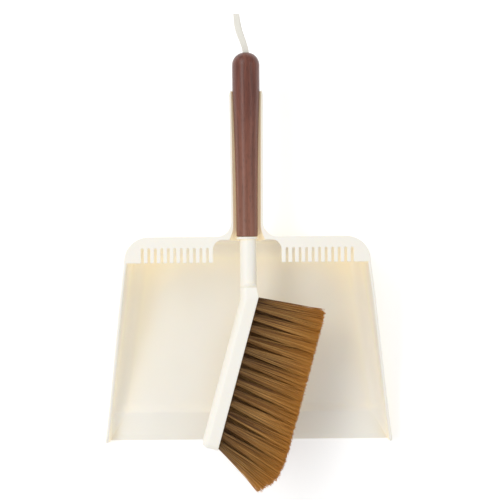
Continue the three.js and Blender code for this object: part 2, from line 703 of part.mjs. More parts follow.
// ---- The set ------------------------------------------------------------------------------------------
const set = new THREE.Group();
set.add(piece('pan_shell', panShell(), CREAM));
set.add(piece('wooden_handle', woodenHandle(), WALNUT));
set.add(piece('brush_head', brushHead(), CREAM));
for (const place of tuftPlaces()) {
  const name = `tuft_row${place.row + 1}_${String(place.i + 1).padStart(2, '0')}`;
  set.add(piece(name, tuft(place), FILAMENT));
}
const footprint = new THREE.Box3().setFromObject(set);
set.add(piece('hanging_loop', hangingLoop(), STRAP));
set.position.set(0, -(footprint.min.y + footprint.max.y) / 2, 0);

export default set;
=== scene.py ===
"""A dust pan and hand brush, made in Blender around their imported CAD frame.

The pan lies on its floor and holds the brush in its channel-shaped handle. Sizes below are in millimetres and
measured from the pan's lip unless a comment says otherwise; `place` turns them into the frame's metres."""

import math

import bmesh
import bpy
from mathutils import Matrix, Vector


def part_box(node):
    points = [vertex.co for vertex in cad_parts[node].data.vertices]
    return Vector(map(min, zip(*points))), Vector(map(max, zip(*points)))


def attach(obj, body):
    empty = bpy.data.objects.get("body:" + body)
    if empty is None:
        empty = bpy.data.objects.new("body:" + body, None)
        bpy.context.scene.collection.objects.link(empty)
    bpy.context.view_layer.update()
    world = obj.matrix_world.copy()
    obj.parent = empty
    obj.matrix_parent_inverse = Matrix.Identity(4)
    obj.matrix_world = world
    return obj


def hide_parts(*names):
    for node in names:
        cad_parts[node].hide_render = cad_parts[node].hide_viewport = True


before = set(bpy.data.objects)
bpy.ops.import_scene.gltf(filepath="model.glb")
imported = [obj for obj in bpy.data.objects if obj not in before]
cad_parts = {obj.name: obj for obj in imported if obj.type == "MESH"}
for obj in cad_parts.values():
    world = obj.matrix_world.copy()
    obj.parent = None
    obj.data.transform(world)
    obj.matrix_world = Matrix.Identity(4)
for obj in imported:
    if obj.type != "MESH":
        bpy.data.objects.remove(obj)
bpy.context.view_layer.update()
scene = bpy.context.scene

# ---- Sizes ------------------------------------------------------------------------------------------------
MM = 0.001
PAN_LOW, PAN_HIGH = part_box("pan_shell")
GRIP_LOW, GRIP_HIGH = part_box("wooden_handle")

# The tub of the pan
WALL_NOSE = 1.6
WALL_NOSE_RADIUS = 6.0
WALL_EDGE_RADIUS = 1.1
PAN_WALL = 2.6
PAN_DRAFT = 0.05
REAR_CORNER_RADIUS = 20.0
REAR_HALF_WIDTH = 100.0
MOUTH_WALL_HEIGHT = 15.0
FLOOR_THICKNESS = 2.6
FLOOR_FILLET = 11.5
UNDERSIDE_ROUNDING = 0.9  # of a radius concentric with the fillet
LIP_THICKNESS = 0.7
LIP_BEVEL_DEPTH = 4.0
LIP_BEVEL_RISE = 1.0
RAMP_DEPTH = 23.0
RAMP_RISE = 4.2
RAMP_BACK_DEPTH = 8.0
# The hood along the back, and its comb
HOOD_DEPTH = 21.0
HOOD_THICKNESS = 2.2
HOOD_EDGE_RADIUS = 0.5
RIM_UNDER_HOOD = 0.03
COMB_CORNER_RADIUS = 0.7
CUTOUT_HALF_WIDTH = 27.7
CUTOUT_RADIUS = 8.0
COMB_SLOTS = 11
COMB_SLOT_WIDTH = 2.0
COMB_SLOT_DEPTH = 12.0
COMB_INNER_LAND = 3.5
COMB_OUTER_LAND = 14.2
# The channel that is the pan's handle
CHANNEL_WALL = 2.0
CHANNEL_GAP_TOP = 0.75
CHANNEL_GAP_PAN = 2.2
CHANNEL_SEAT_GAP = 0.3
CHANNEL_OUTER_FLARE = 12.0
CHANNEL_INNER_FLARE = 3.6
CHANNEL_END_ROUND = 4.0
CHANNEL_END_WALL = 0.9
SKIN = 0.05  # how far the channel stands inside the layer that tops it
# The wooden handle
GRIP_LENGTH = 149.2
GRIP_WAIST_RADIUS = 8.7
GRIP_DOME = 11.0
GRIP_DOME_FULLNESS = 2.15
GRIP_FULL_LENGTH = 32.0
GRIP_CHAMFER = 0.7
TANG_RADIUS = 4.5
TANG_BORE_RADIUS = 4.8
TANG_LENGTH = 58.0
TANG_EDGE = 0.8
TANG_END_GAP = 0.3
LOOP_HOLE_RADIUS = 3.0
LOOP_HOLE_DEPTH = 14.0
# The brush's head
NECK_RADIUS = 6.65
NECK_OFFSET = 0.65
COLLAR_HEIGHT = 1.9
COLLAR_RADIUS = 8.6
COLLAR_SWELL = ((0.05, 7.4), (0.2, 8.1), (0.45, 8.5), (0.65, COLLAR_RADIUS))  # (rise from its start, radius)
COLLAR_EDGE = 0.3
COLLAR_GAP = 0.3
HEAD_LENGTH = 126.8
HEAD_WIDTH = 29.0
HEAD_THICKNESS = 14.0
HEAD_CROWN = 6.0
HEAD_EDGE = 0.7
HEAD_ANGLE = math.radians(15.36)
HEAD_TOE_ROUND = 5.0
HEAD_TOE_REACH = 1.6
HEEL_X = 9.0
HEEL_DROP = 48.4
HEEL_SKEW = 6.5
HEEL_RUN = 11.0
HEEL_LENGTH = 7.3
HEEL_BEVEL = 1.8
SHOULDER_LENGTH = 4.0
TUFT_HOLE_RADIUS = 2.5
TUFT_HOLE_DEPTH = 9.4
COUNTERSINK_DEPTH = 0.5
COUNTERSINK_WIDTH = 0.45
TUFT_HOLE_OVERRUN = 2.6
# The filaments
TUFT_ROWS = (1, 2, 3, 4)
FILAMENT_THICKNESS = 0.4
FILAMENTS_PER_TUFT = 210
FILAMENT_POINTS = 7
TUFT_ROOT_RADIUS = 2.1
TUFT_OVERLAP = 1.12
STRAND_STRAY = 1.2
STRAND_BOW = 0.7
# The hanging loop
LOOP_WIDTH = 5.0
LOOP_THICKNESS = 0.9
LOOP_LEG_GAP = 1.0
STRAP_THREAD = 0.6
# A cutting body reaches this far past what it cuts, and bites this far into a wall beside it
OVERRUN = 10.0
BITE = 0.1
# How far off a facing surface still closes a recess in, in metres, for the cream plastic's painted shade and
# painted glow, and how strongly that painted glow then shines
PAINTED_RECESS_REACH = 0.045
PAINTED_RECESS_GLOW = 0.36

# Where the frame puts them
LIP_Y = PAN_LOW.y / MM + WALL_NOSE
PAN_DEPTH = GRIP_LOW.y / MM - LIP_Y
PAN_HEIGHT = PAN_HIGH.z / MM
MOUTH_HALF_WIDTH = PAN_HIGH.x / MM
CHANNEL_LENGTH = PAN_HIGH.y / MM - LIP_Y - PAN_DEPTH
GRIP_RADIUS = (GRIP_HIGH.z - GRIP_LOW.z) / 2 / MM
AXIS_Z = (GRIP_HIGH.z + GRIP_LOW.z) / 2 / MM
HOOD_FRONT = PAN_DEPTH - HOOD_DEPTH
GRIP_END = PAN_DEPTH + GRIP_LENGTH
CHANNEL_END = PAN_DEPTH + CHANNEL_LENGTH
SIDES_END = PAN_DEPTH - REAR_CORNER_RADIUS


def place(x, y, z):
    """A point in millimetres, with y measured from the pan's lip, as metres in the frame."""
    return Vector((x, y + LIP_Y, z)) * MM


TUB_MIDDLE = tuple(place(0, PAN_DEPTH / 2, 0))


def lerp(a, b, share):
    return a + (b - a) * share


def clamp(value, low=0.0, high=1.0):
    return max(low, min(high, value))


def quarter(i, steps):
    """The angle after i of some even steps through a quarter turn."""
    return math.pi / 2 * i / steps


def smooth(share):
    share = clamp(share)
    return share * share * (3 - 2 * share)


# ---- Camera -----------------------------------------------------------------------------------------------
CAMERA_HEIGHT = 1500.0
CAMERA_LENS = 128.7
CAMERA_X = 2.2
CAMERA_Y = 158.6
CAMERA_ROLL = math.radians(-0.5)

camera_data = bpy.data.cameras.new("camera")
camera_data.lens = CAMERA_LENS
camera_data.clip_end = 20
camera = bpy.data.objects.new("camera", camera_data)
camera.location = place(CAMERA_X, CAMERA_Y, CAMERA_HEIGHT)
camera.rotation_euler = (0, 0, CAMERA_ROLL)
scene.collection.objects.link(camera)
scene.camera = camera


# ---- Node trees -------------------------------------------------------------------------------------------
def add(tree, kind, inputs=None, stops=(), **settings):
    """Adds a node, sets its properties, and gives its inputs a value each or a link from another socket.
    A colour ramp takes (position, hex colour) stops, in rising order."""
    made = tree.nodes.new(kind)
    for name, value in settings.items():
        setattr(made, name, value)
    for name, value in (inputs or {}).items():
        if isinstance(value, bpy.types.NodeSocket):
            tree.links.new(value, made.inputs[name])
        else:
            made.inputs[name].default_value = value
    for i, (position, colour) in enumerate(stops):
        elements = made.color_ramp.elements
        element = elements[i] if i < len(elements) else elements.new(position)
        element.position = position
        element.color = linear(colour)
    return made


def linear(hex_colour):
    """An sRGB hex colour as linear RGBA."""
    channels = [int(hex_colour[i : i + 2], 16) / 255 for i in (1, 3, 5)]
    return (*(c / 12.92 if c <= 0.04045 else ((c + 0.055) / 1.055) ** 2.4 for c in channels), 1.0)


def new_material(name):
    material = bpy.data.materials.new(name)
    material.use_nodes = True
    material.node_tree.nodes.clear()
    return material, material.node_tree


# Injection-moulded polypropylene, cream, spark-eroded mould: an even satin surface with a faint fine grain,
# a little light passing into the wall, and painted shade in the recesses: a golden tint of the base colour and
# a painted glow, both growing as the surface closes in.
def cream_polypropylene():
    material, tree = new_material("cream_polypropylene_moulded")
    surface = add(tree, "ShaderNodeTexCoord").outputs
    coordinates = surface["Object"]
    clouds = add(tree, "ShaderNodeTexNoise", {"Vector": coordinates, "Scale": 14.0, "Detail": 2.0})
    open_colour = add(tree, "ShaderNodeValToRGB", {"Fac": clouds.outputs["Fac"]},
                      stops=[(0.35, "#F8F4EA"), (0.65, "#FAF7EF")])
    # Painted shade: ambient occlusion turns the base colour a deeper golden cream in the recesses
    openness = add(tree, "ShaderNodeAmbientOcclusion", {"Distance": PAINTED_RECESS_REACH}, samples=8)
    depth = add(tree, "ShaderNodeMapRange", {"Value": openness.outputs["AO"], "From Min": 0.25,
                                             "From Max": 0.9, "To Min": 0.85, "To Max": 0.0})
    colour = add(tree, "ShaderNodeMix", {"Factor": depth.outputs["Result"], 6: open_colour.outputs["Color"],
                                         7: linear("#FBE9BC")}, data_type="RGBA")
    grain = add(tree, "ShaderNodeTexNoise", {"Vector": coordinates, "Scale": 900.0, "Detail": 2.0})
    roughness = add(tree, "ShaderNodeMapRange",
                    {"Value": grain.outputs["Fac"], "To Min": 0.34, "To Max": 0.46})
    bump = add(tree, "ShaderNodeBump",
               {"Height": grain.outputs["Fac"], "Strength": 0.12, "Distance": 0.00005})
    # The painted glow stays off the outsides of the walls, which face away from the middle of the tub
    from_middle = add(tree, "ShaderNodeVectorMath", {0: coordinates, 1: TUB_MIDDLE}, operation="SUBTRACT")
    level = add(tree, "ShaderNodeVectorMath", {0: from_middle.outputs[0], 1: (1, 1, 0)}, operation="MULTIPLY")
    outward = add(tree, "ShaderNodeVectorMath", {0: level.outputs[0], 1: surface["Normal"]},
                  operation="DOT_PRODUCT")
    inside = add(tree, "ShaderNodeMapRange", {"Value": outward.outputs["Value"], "From Min": 0.0,
                                              "From Max": 0.006, "To Min": PAINTED_RECESS_GLOW, "To Max": 0.0})
    # Painted glow: the recesses give off a warm light of their own, kept to the inside of the tub
    through = add(tree, "ShaderNodeMath", {0: depth.outputs["Result"], 1: inside.outputs["Result"]},
                  operation="MULTIPLY")
    shader = add(tree, "ShaderNodeBsdfPrincipled", {
        "Base Color": colour.outputs[2], "Roughness": roughness.outputs["Result"],
        "Emission Color": linear("#FFEECB"), "Emission Strength": through.outputs["Value"],
        "Normal": bump.outputs["Normal"], "IOR": 1.49, "Subsurface Weight": 0.12,
        "Subsurface Radius": (1.0, 0.8, 0.5), "Subsurface Scale": 0.002})
    add(tree, "ShaderNodeOutputMaterial", {"Surface": shader.outputs["BSDF"]})
    return material


# Black walnut, turned and sanded, under a satin oil-lacquer: brown streaks along the grip, short dark pores
# that are slightly sunk, a soft clear sheen, and a paler tone towards the pan end of the grip.
def oiled_walnut():
    material, tree = new_material("walnut_turned_satin_lacquer")
    coordinates = add(tree, "ShaderNodeTexCoord").outputs["Object"]
    streak_map = add(tree, "ShaderNodeMapping", {"Vector": coordinates, "Scale": (260.0, 14.0, 260.0)})
    streaks = add(tree, "ShaderNodeTexNoise",
                  {"Vector": streak_map.outputs["Vector"], "Scale": 1.0, "Detail": 5.0, "Roughness": 0.6,
                   "Distortion": 0.6})
    colour = add(tree, "ShaderNodeValToRGB", {"Fac": streaks.outputs["Fac"]},
                 stops=[(0.3, "#562A1D"), (0.48, "#683628"), (0.62, "#774232"), (0.78, "#854E3C")])
    fibre_map = add(tree, "ShaderNodeMapping", {"Vector": coordinates, "Scale": (2600.0, 90.0, 2600.0)})
    fibres = add(tree, "ShaderNodeTexNoise",
                 {"Vector": fibre_map.outputs["Vector"], "Scale": 1.0, "Detail": 2.0, "Roughness": 0.5})
    pore_map = add(tree, "ShaderNodeMapping", {"Vector": coordinates, "Scale": (1500.0, 210.0, 1500.0)})
    pores = add(tree, "ShaderNodeTexNoise",
                {"Vector": pore_map.outputs["Vector"], "Scale": 1.0, "Detail": 0.0})
    pore_mask = add(tree, "ShaderNodeMapRange",
                    {"Value": pores.outputs["Fac"], "From Min": 0.62, "From Max": 0.74, "To Max": 0.25})
    axes = add(tree, "ShaderNodeSeparateXYZ", {"Vector": coordinates})
    # The grip turns paler towards its pan end
    toward_pan_end = add(tree, "ShaderNodeMapRange",
               {"Value": axes.outputs["Y"], "From Min": GRIP_LOW.y,
                "From Max": lerp(GRIP_LOW.y, GRIP_HIGH.y, 0.75), "To Min": 0.3, "To Max": 0.0})
    fibre_shade = add(tree, "ShaderNodeMapRange",
                      {"Value": fibres.outputs["Fac"], "From Min": 0.3, "From Max": 0.7,
                       "To Min": 0.84, "To Max": 1.1})
    shaded = add(tree, "ShaderNodeMix", {"Factor": 1.0, 6: colour.outputs["Color"],
                                         7: fibre_shade.outputs["Result"]},
                 data_type="RGBA", blend_type="MULTIPLY")
    paler_toward_pan = add(tree, "ShaderNodeMix", {"Factor": toward_pan_end.outputs["Result"], 6: shaded.outputs[2],
                                         7: linear("#B98368")}, data_type="RGBA")
    with_pores = add(tree, "ShaderNodeMix", {"Factor": pore_mask.outputs["Result"],
                                             6: paler_toward_pan.outputs[2], 7: linear("#2A120C")},
                     data_type="RGBA")
    roughness = add(tree, "ShaderNodeMapRange",
                    {"Value": fibres.outputs["Fac"], "To Min": 0.3, "To Max": 0.42})
    height = add(tree, "ShaderNodeMath", {0: fibres.outputs["Fac"], 1: pore_mask.outputs["Result"]},
                 operation="SUBTRACT")
    bump = add(tree, "ShaderNodeBump",
               {"Height": height.outputs["Value"], "Strength": 0.35, "Distance": 0.00012})
    shader = add(tree, "ShaderNodeBsdfPrincipled", {
        "Base Color": with_pores.outputs[2], "Roughness": roughness.outputs["Result"],
        "Normal": bump.outputs["Normal"], "IOR": 1.45, "Coat Weight": 0.22, "Coat Roughness": 0.2})
    add(tree, "ShaderNodeOutputMaterial", {"Surface": shader.outputs["BSDF"]})
    return material


# Extruded PET filament, dyed brown: each strand has its own shade, with a clear gloss along it and a paler,
# split tip, and painted shade that darkens every strand towards its root, where the tufts crowd together.
def brown_filament():
    material, tree = new_material("pet_filament_brown")
    tint = add(tree, "ShaderNodeAttribute", attribute_name="strand_tint").outputs["Fac"]
    share = add(tree, "ShaderNodeAttribute", attribute_name="strand_share").outputs["Fac"]
    body = add(tree, "ShaderNodeValToRGB", {"Fac": tint},
               stops=[(0.0, "#5E3817"), (0.5, "#AC7633"), (1.0, "#E8B56A")])
    toward_tip = add(tree, "ShaderNodeMapRange",
                     {"Value": share, "From Min": 0.55, "From Max": 1.0, "To Max": 0.7})
    colour = add(tree, "ShaderNodeMix", {"Factor": toward_tip.outputs["Result"],
                                         6: body.outputs["Color"], 7: linear("#D9922F")},
                 data_type="RGBA")
    # Painted shade: strands turn near-black towards their roots, standing in for the shadow between the tufts
    painted_root_shade = add(tree, "ShaderNodeMapRange",
                  {"Value": share, "From Min": 0.12, "From Max": 0.55, "To Min": 0.62, "To Max": 0.0})
    shaded = add(tree, "ShaderNodeMix", {"Factor": painted_root_shade.outputs["Result"],
                                         6: colour.outputs[2], 7: linear("#2E1B0B")}, data_type="RGBA")
    shader = add(tree, "ShaderNodeBsdfPrincipled", {
        "Base Color": shaded.outputs[2], "Roughness": 0.36, "IOR": 1.57})
    add(tree, "ShaderNodeOutputMaterial", {"Surface": shader.outputs["BSDF"]})
    return material


# Woven polyester strap, off-white: a plain weave of half-millimetre threads, drawn a little coarse, at
# STRAP_THREAD, so that it shows, with a soft sheen and painted shade that darkens the weave where its threads
# dip.
def woven_strap():
    material, tree = new_material("woven_polyester_strap")
    uv = add(tree, "ShaderNodeUVMap", uv_map="strap").outputs["UV"]
    threads = 1 / (STRAP_THREAD * MM)
    thread_map = add(tree, "ShaderNodeMapping", {"Vector": uv, "Scale": (threads, threads, 1.0)})
    axes = add(tree, "ShaderNodeSeparateXYZ", {"Vector": thread_map.outputs["Vector"]})
    along = add(tree, "ShaderNodeMath", {0: axes.outputs["X"], 1: math.pi}, operation="MULTIPLY")
    across = add(tree, "ShaderNodeMath", {0: axes.outputs["Y"], 1: math.pi}, operation="MULTIPLY")
    wave_along = add(tree, "ShaderNodeMath", {0: along.outputs["Value"]}, operation="SINE")
    wave_across = add(tree, "ShaderNodeMath", {0: across.outputs["Value"]}, operation="SINE")
    weave = add(tree, "ShaderNodeMath", {0: wave_along.outputs["Value"], 1: wave_across.outputs["Value"]},
                operation="MULTIPLY")
    lift = add(tree, "ShaderNodeMapRange", {"Value": weave.outputs["Value"], "From Min": -1.0})
    # Painted shade: the weave is coloured darker where its threads dip
    colour = add(tree, "ShaderNodeValToRGB", {"Fac": lift.outputs["Result"]},
                 stops=[(0.0, "#DCD8CC"), (1.0, "#F3F1E9")])
    bump = add(tree, "ShaderNodeBump",
               {"Height": lift.outputs["Result"], "Strength": 0.5, "Distance": 0.0001})
    shader = add(tree, "ShaderNodeBsdfPrincipled", {
        "Base Color": colour.outputs["Color"], "Roughness": 0.8, "Normal": bump.outputs["Normal"],
        "IOR": 1.5, "Sheen Weight": 0.3, "Sheen Roughness": 0.4})
    add(tree, "ShaderNodeOutputMaterial", {"Surface": shader.outputs["BSDF"]})
    return material


CREAM = cream_polypropylene()
WALNUT = oiled_walnut()
FILAMENT = brown_filament()
STRAP = woven_strap()


# ---- Meshes -----------------------------------------------------------------------------------------------
def new_object(name, points, faces, material):
    mesh = bpy.data.meshes.new(name)
    mesh.from_pydata([tuple(p) for p in points], [], faces)
    mesh.materials.append(material)
    turned = bmesh.new()
    turned.from_mesh(mesh)
    bmesh.ops.remove_doubles(turned, verts=turned.verts, dist=1e-7)
    bmesh.ops.recalc_face_normals(turned, faces=turned.faces)
    turned.to_mesh(mesh)
    turned.free()
    made = bpy.data.objects.new(name, mesh)
    scene.collection.objects.link(made)
    return made


def loft(name, rings, material):
    """Closed rings of equal length joined into one closed body, with a face over each end."""
    count = len(rings[0])
    faces = [tuple(reversed(range(count))), tuple(range((len(rings) - 1) * count, len(rings) * count))]
    for r in range(len(rings) - 1):
        for i in range(count):
            j = (i + 1) % count
            low, high = r * count, (r + 1) * count
            faces.append((low + i, low + j, high + j, high + i))
    return new_object(name, [p for ring in rings for p in ring], faces, material)


def turned_body(name, profile, sides, material):
    """A body turned about the brush's axis from (radius, y) points whose ends lie on the axis."""
    inner = profile[1:-1]
    rings = [[place(r * math.cos(a), y, AXIS_Z + r * math.sin(a))
              for a in (math.tau * i / sides for i in range(sides))] for r, y in inner]
    points = [p for ring in rings for p in ring]
    faces = []
    for r in range(len(rings) - 1):
        for i in range(sides):
            j = (i + 1) % sides
            faces.append((r * sides + i, r * sides + j, (r + 1) * sides + j, (r + 1) * sides + i))
    for end, ring in ((profile[0], 0), (profile[-1], len(rings) - 1)):
        pole = len(points)
        points.append(place(0, end[1], AXIS_Z))
        faces += [(pole, ring * sides + i, ring * sides + (i + 1) % sides) for i in range(sides)]
    return new_object(name, points, faces, material)


def evaluated(made):
    """Bakes the object's modifiers into its mesh."""
    graph = bpy.context.evaluated_depsgraph_get()
    mesh = bpy.data.meshes.new_from_object(made.evaluated_get(graph), depsgraph=graph)
    made.modifiers.clear()
    made.data = mesh
    return made


def combine(base, tool, operation):
    """Joins a tool to the base or cuts it away, and removes the tool."""
    boolean = base.modifiers.new("combine", "BOOLEAN")
    boolean.operation = operation
    boolean.solver = "MANIFOLD"
    boolean.object = tool
    evaluated(base)
    bpy.data.objects.remove(tool)
    return base


def shade(made, sharp_above=32):
    """Smooth shading with crisp edges, and large flat faces kept flat beside small rounded ones."""
    for polygon in made.data.polygons:
        polygon.use_smooth = True
    made.data.set_sharp_from_angle(angle=math.radians(sharp_above))
    weighted = made.modifiers.new("weighted", "WEIGHTED_NORMAL")
    weighted.keep_sharp = True
    return evaluated(made)


# ---- The pan ----------------------------------------------------------------------------------------------
def draft(z):
    return (PAN_HEIGHT - z) * PAN_DRAFT


def rim_half_width(y):
    mouth = MOUTH_HALF_WIDTH + draft(MOUTH_WALL_HEIGHT)
    return lerp(mouth, REAR_HALF_WIDTH, y / SIDES_END)


REAR_CORNER_X = rim_half_width(SIDES_END) - REAR_CORNER_RADIUS


def floor_height(y):
    bevel_top = LIP_THICKNESS + LIP_BEVEL_RISE
    if y <= LIP_BEVEL_DEPTH:
        return lerp(LIP_THICKNESS, bevel_top, max(0.0, y) / LIP_BEVEL_DEPTH)
    if y <= RAMP_DEPTH:
        return lerp(bevel_top, RAMP_RISE, (y - LIP_BEVEL_DEPTH) / (RAMP_DEPTH - LIP_BEVEL_DEPTH))
    return lerp(RAMP_RISE, FLOOR_THICKNESS, smooth((y - RAMP_DEPTH) / RAMP_BACK_DEPTH))


def bezier(a, b, c, d, t):
    return a * (1 - t) ** 3 + 3 * b * t * (1 - t) ** 2 + 3 * c * t * t * (1 - t) + d * t**3


def rim_height(y):
    """The side wall's top edge: a rounded nose at the mouth, then a long rise that eases into the hood."""
    nose_end = WALL_NOSE_RADIUS - WALL_NOSE
    if y < nose_end:
        away = clamp((nose_end - y) / WALL_NOSE_RADIUS)
        return MOUTH_WALL_HEIGHT - WALL_NOSE_RADIUS * (1 - math.sqrt(1 - away * away))
    rise = PAN_HEIGHT - MOUTH_WALL_HEIGHT
    ends = (nose_end, HOOD_FRONT * 0.3, HOOD_FRONT * 0.72, HOOD_FRONT - 2)
    if y >= ends[3]:
        return PAN_HEIGHT
    low, high = 0.0, 1.0
    for _ in range(30):
        middle = (low + high) / 2
        if bezier(*ends, middle) < y:
            low = middle
        else:
            high = middle
    return bezier(MOUTH_WALL_HEIGHT, MOUTH_WALL_HEIGHT + rise * 0.1, PAN_HEIGHT - rise * 0.1, PAN_HEIGHT, low)


def wall_profile(y):
    """(inset from the rim's outline, z) from the floor's edge over the rim and down to the underside."""
    share = clamp(y / RAMP_DEPTH, 0.05, 1.0)
    radius = FLOOR_FILLET * share
    ground = floor_height(y)
    reach = max(0.0, WALL_EDGE_RADIUS - (y + WALL_NOSE))
    edge = WALL_EDGE_RADIUS - math.sqrt(WALL_EDGE_RADIUS**2 - min(reach, WALL_EDGE_RADIUS) ** 2)
    top = min(rim_height(y), PAN_HEIGHT - RIM_UNDER_HOOD)
    round_radius = PAN_WALL / 2 - edge
    round_z = top - PAN_WALL / 2
    points = []
    for i in range(9):
        angle = quarter(i, 8)
        z = ground + radius * (1 - math.cos(angle))
        points.append((PAN_WALL - edge + draft(z) + radius * (1 - math.sin(angle)), z))
    fillet_top = points[-1][1]
    for i in range(1, 5):
        z = lerp(fillet_top, round_z, i / 5)
        points.append((PAN_WALL - edge + draft(z), z))
    for i in range(9):
        angle = math.pi * i / 8
        z = round_z + round_radius * math.sin(angle)
        points.append((PAN_WALL / 2 + draft(z) + round_radius * math.cos(angle), z))
    outer_radius = (FLOOR_FILLET + PAN_WALL) * UNDERSIDE_ROUNDING * share
    for i in range(1, 5):
        z = lerp(round_z, outer_radius, i / 5)
        points.append((edge + draft(z), z))
    for i in range(9):
        angle = math.pi / 2 * (1 - i / 8)
        z = outer_radius * (1 - math.cos(angle))
        points.append((edge + draft(z) + FLOOR_FILLET * share * (1 - math.sin(angle)), z))
    return points


FLOOR_COLUMNS = 16


def pan_tub():
    """The floor, the two side walls and the back wall, as one closed skin with a rounded rim."""
    near = [-WALL_NOSE + d for d in (0, 0.08, 0.25, 0.55, 1.1)]
    sides = near + [0, 0.6, 1.4, 2.4, 3.3, LIP_BEVEL_DEPTH, 5.2, 8, 12, 16, 19.5, 22]
    sides += [RAMP_DEPTH + d for d in (0, 0.8, 2, 3.2, 4.4, 5.6, 6.8, RAMP_BACK_DEPTH)]
    sides += [lerp(sides[-1], SIDES_END, i / 20) for i in range(1, 21)]
    columns = []
    for y in sides:
        columns.append([(rim_half_width(y) - inset, y, z) for inset, z in wall_profile(y)])
    for i in range(1, 17):
        angle = quarter(i, 16)
        columns.append([
            (REAR_CORNER_X + (REAR_CORNER_RADIUS - inset) * math.cos(angle),
             SIDES_END + (REAR_CORNER_RADIUS - inset) * math.sin(angle), z)
            for inset, z in wall_profile(PAN_DEPTH)])
    right = len(columns)
    for i in range(1, FLOOR_COLUMNS):
        x = REAR_CORNER_X * (1 - 2 * i / FLOOR_COLUMNS)
        columns.append([(x, PAN_DEPTH - inset, z) for inset, z in wall_profile(PAN_DEPTH)])
    columns += [[(-x, y, z) for x, y, z in column] for column in reversed(columns[:right])]

    points = [place(*p) for column in columns for p in column]
    steps = len(columns[0])
    faces = []
    for c in range(len(columns) - 1):
        for s in range(steps - 1):
            faces.append((c * steps + s, (c + 1) * steps + s, (c + 1) * steps + s + 1, c * steps + s + 1))

    front_edges = []
    for step in (0, steps - 1):
        rows = []
        for c in range(right):
            first, last = c * steps + step, (len(columns) - 1 - c) * steps + step
            if c == right - 1:
                row = [k * steps + step for k in range(right - 1, right + FLOOR_COLUMNS)]
            else:
                row = [first]
                for k in range(1, FLOOR_COLUMNS):
                    row.append(len(points))
                    points.append(points[first].lerp(points[last], k / FLOOR_COLUMNS))
                row.append(last)
            rows.append(row)
        for low, high in zip(rows, rows[1:]):
            for k in range(FLOOR_COLUMNS):
                faces.append((low[k], low[k + 1], high[k + 1], high[k]))
        front_edges.append(rows[0])
    left = (len(columns) - 1) * steps
    front = list(range(steps)) + front_edges[1][1:-1]
    front += [left + s for s in reversed(range(steps))] + list(reversed(front_edges[0][1:-1]))
    faces.append(tuple(front))
    return new_object("pan_tub", points, faces, CREAM)


def lip_cut():
    """What is cut away ahead of the lip, between the noses of the two side walls."""
    half = MOUTH_HALF_WIDTH + draft(MOUTH_WALL_HEIGHT) - PAN_WALL - draft(0) + BITE
    corners = ((-half, -OVERRUN), (half, -OVERRUN), (half, PAN_HEIGHT), (-half, PAN_HEIGHT))
    rings = [[place(x, y, z) for x, z in corners] for y in (-WALL_NOSE - OVERRUN, 0)]
    return loft("lip_cut", rings, CREAM)


def channel_share(y):
    return clamp((y - PAN_DEPTH) / CHANNEL_LENGTH)


def tapered_grip(y):
    return lerp(GRIP_WAIST_RADIUS, GRIP_RADIUS, channel_share(y))


def inner_half_width(y):
    """Half the channel's inside width: the grip's taper, its gap, and the flare that opens into the pan."""
    share = clamp(1 - (y - PAN_DEPTH + PAN_WALL) / CHANNEL_OUTER_FLARE, 0, 1.2)
    gap = lerp(CHANNEL_GAP_PAN, CHANNEL_GAP_TOP, channel_share(y))
    return tapered_grip(y) + gap + CHANNEL_INNER_FLARE * share * share


def quarter_round(distance, radius):
    left = clamp(radius - distance, 0, radius)
    return radius - math.sqrt(radius * radius - left * left)


def outer_growth(y):
    """How much the channel at y is thicker than its wall: the flare at the pan, less the rounded end."""
    flare = quarter_round(max(0.0, y - PAN_DEPTH), CHANNEL_OUTER_FLARE)
    rounding = clamp(1 - (CHANNEL_END - y) / CHANNEL_END_ROUND) ** 2
    return flare - rounding * (CHANNEL_WALL - CHANNEL_END_WALL)


def outer_half_width(y):
    gap = lerp(CHANNEL_GAP_PAN, CHANNEL_GAP_TOP, channel_share(y))
    return tapered_grip(y) + gap + CHANNEL_WALL + outer_growth(y)


def channel_ring(y, half_width, depth, top):
    """A U-shaped section: upright sides above the grip's axis and half an ellipse below it."""
    ring = [place(half_width, y, top)]
    for i in range(33):
        angle = math.pi * i / 32
        ring.append(place(half_width * math.cos(angle), y, AXIS_Z - depth * math.sin(angle)))
    return ring + [place(-half_width, y, top)]


def outside_stations():
    """Where along the channel its outside has a section: the flare at the pan, the run, the rounded end."""
    flare = [PAN_DEPTH + CHANNEL_OUTER_FLARE * (1 - math.cos(quarter(i, 14))) for i in range(15)]
    run = [lerp(flare[-1], CHANNEL_END - CHANNEL_END_ROUND, i / 8) for i in range(1, 9)]
    tip = [CHANNEL_END - CHANNEL_END_ROUND * (1 - math.sin(quarter(i, 6))) for i in range(1, 7)]
    return flare, run, tip


def channel_outside():
    flare, run, tip = outside_stations()
    rings = []
    for y in [PAN_DEPTH - PAN_WALL] + flare + run + tip:
        depth = tapered_grip(y) + CHANNEL_SEAT_GAP + CHANNEL_WALL + outer_growth(y)
        rings.append(channel_ring(y, outer_half_width(y) - SKIN, depth, PAN_HEIGHT - HOOD_EDGE_RADIUS))
    return loft("channel_outside", rings, CREAM)


def channel_inside():
    wall_inside = PAN_DEPTH - PAN_WALL
    stations = [wall_inside + CHANNEL_OUTER_FLARE * i / 14 for i in range(-3, 15)]
    stations += [CHANNEL_END, CHANNEL_END + OVERRUN]
    rings = []
    for y in stations:
        share = clamp(1 - (y - wall_inside) / CHANNEL_OUTER_FLARE, 0, 1.2)
        depth = tapered_grip(y) + CHANNEL_SEAT_GAP + CHANNEL_INNER_FLARE * share * share
        rings.append(channel_ring(y, inner_half_width(y) + SKIN, depth, PAN_HEIGHT + OVERRUN))
    return loft("channel_inside", rings, CREAM)


def arc(centre, radius, start, end, steps):
    return [(centre[0] + radius * math.cos(lerp(start, end, i / steps)),
             centre[1] + radius * math.sin(lerp(start, end, i / steps))) for i in range(steps + 1)]


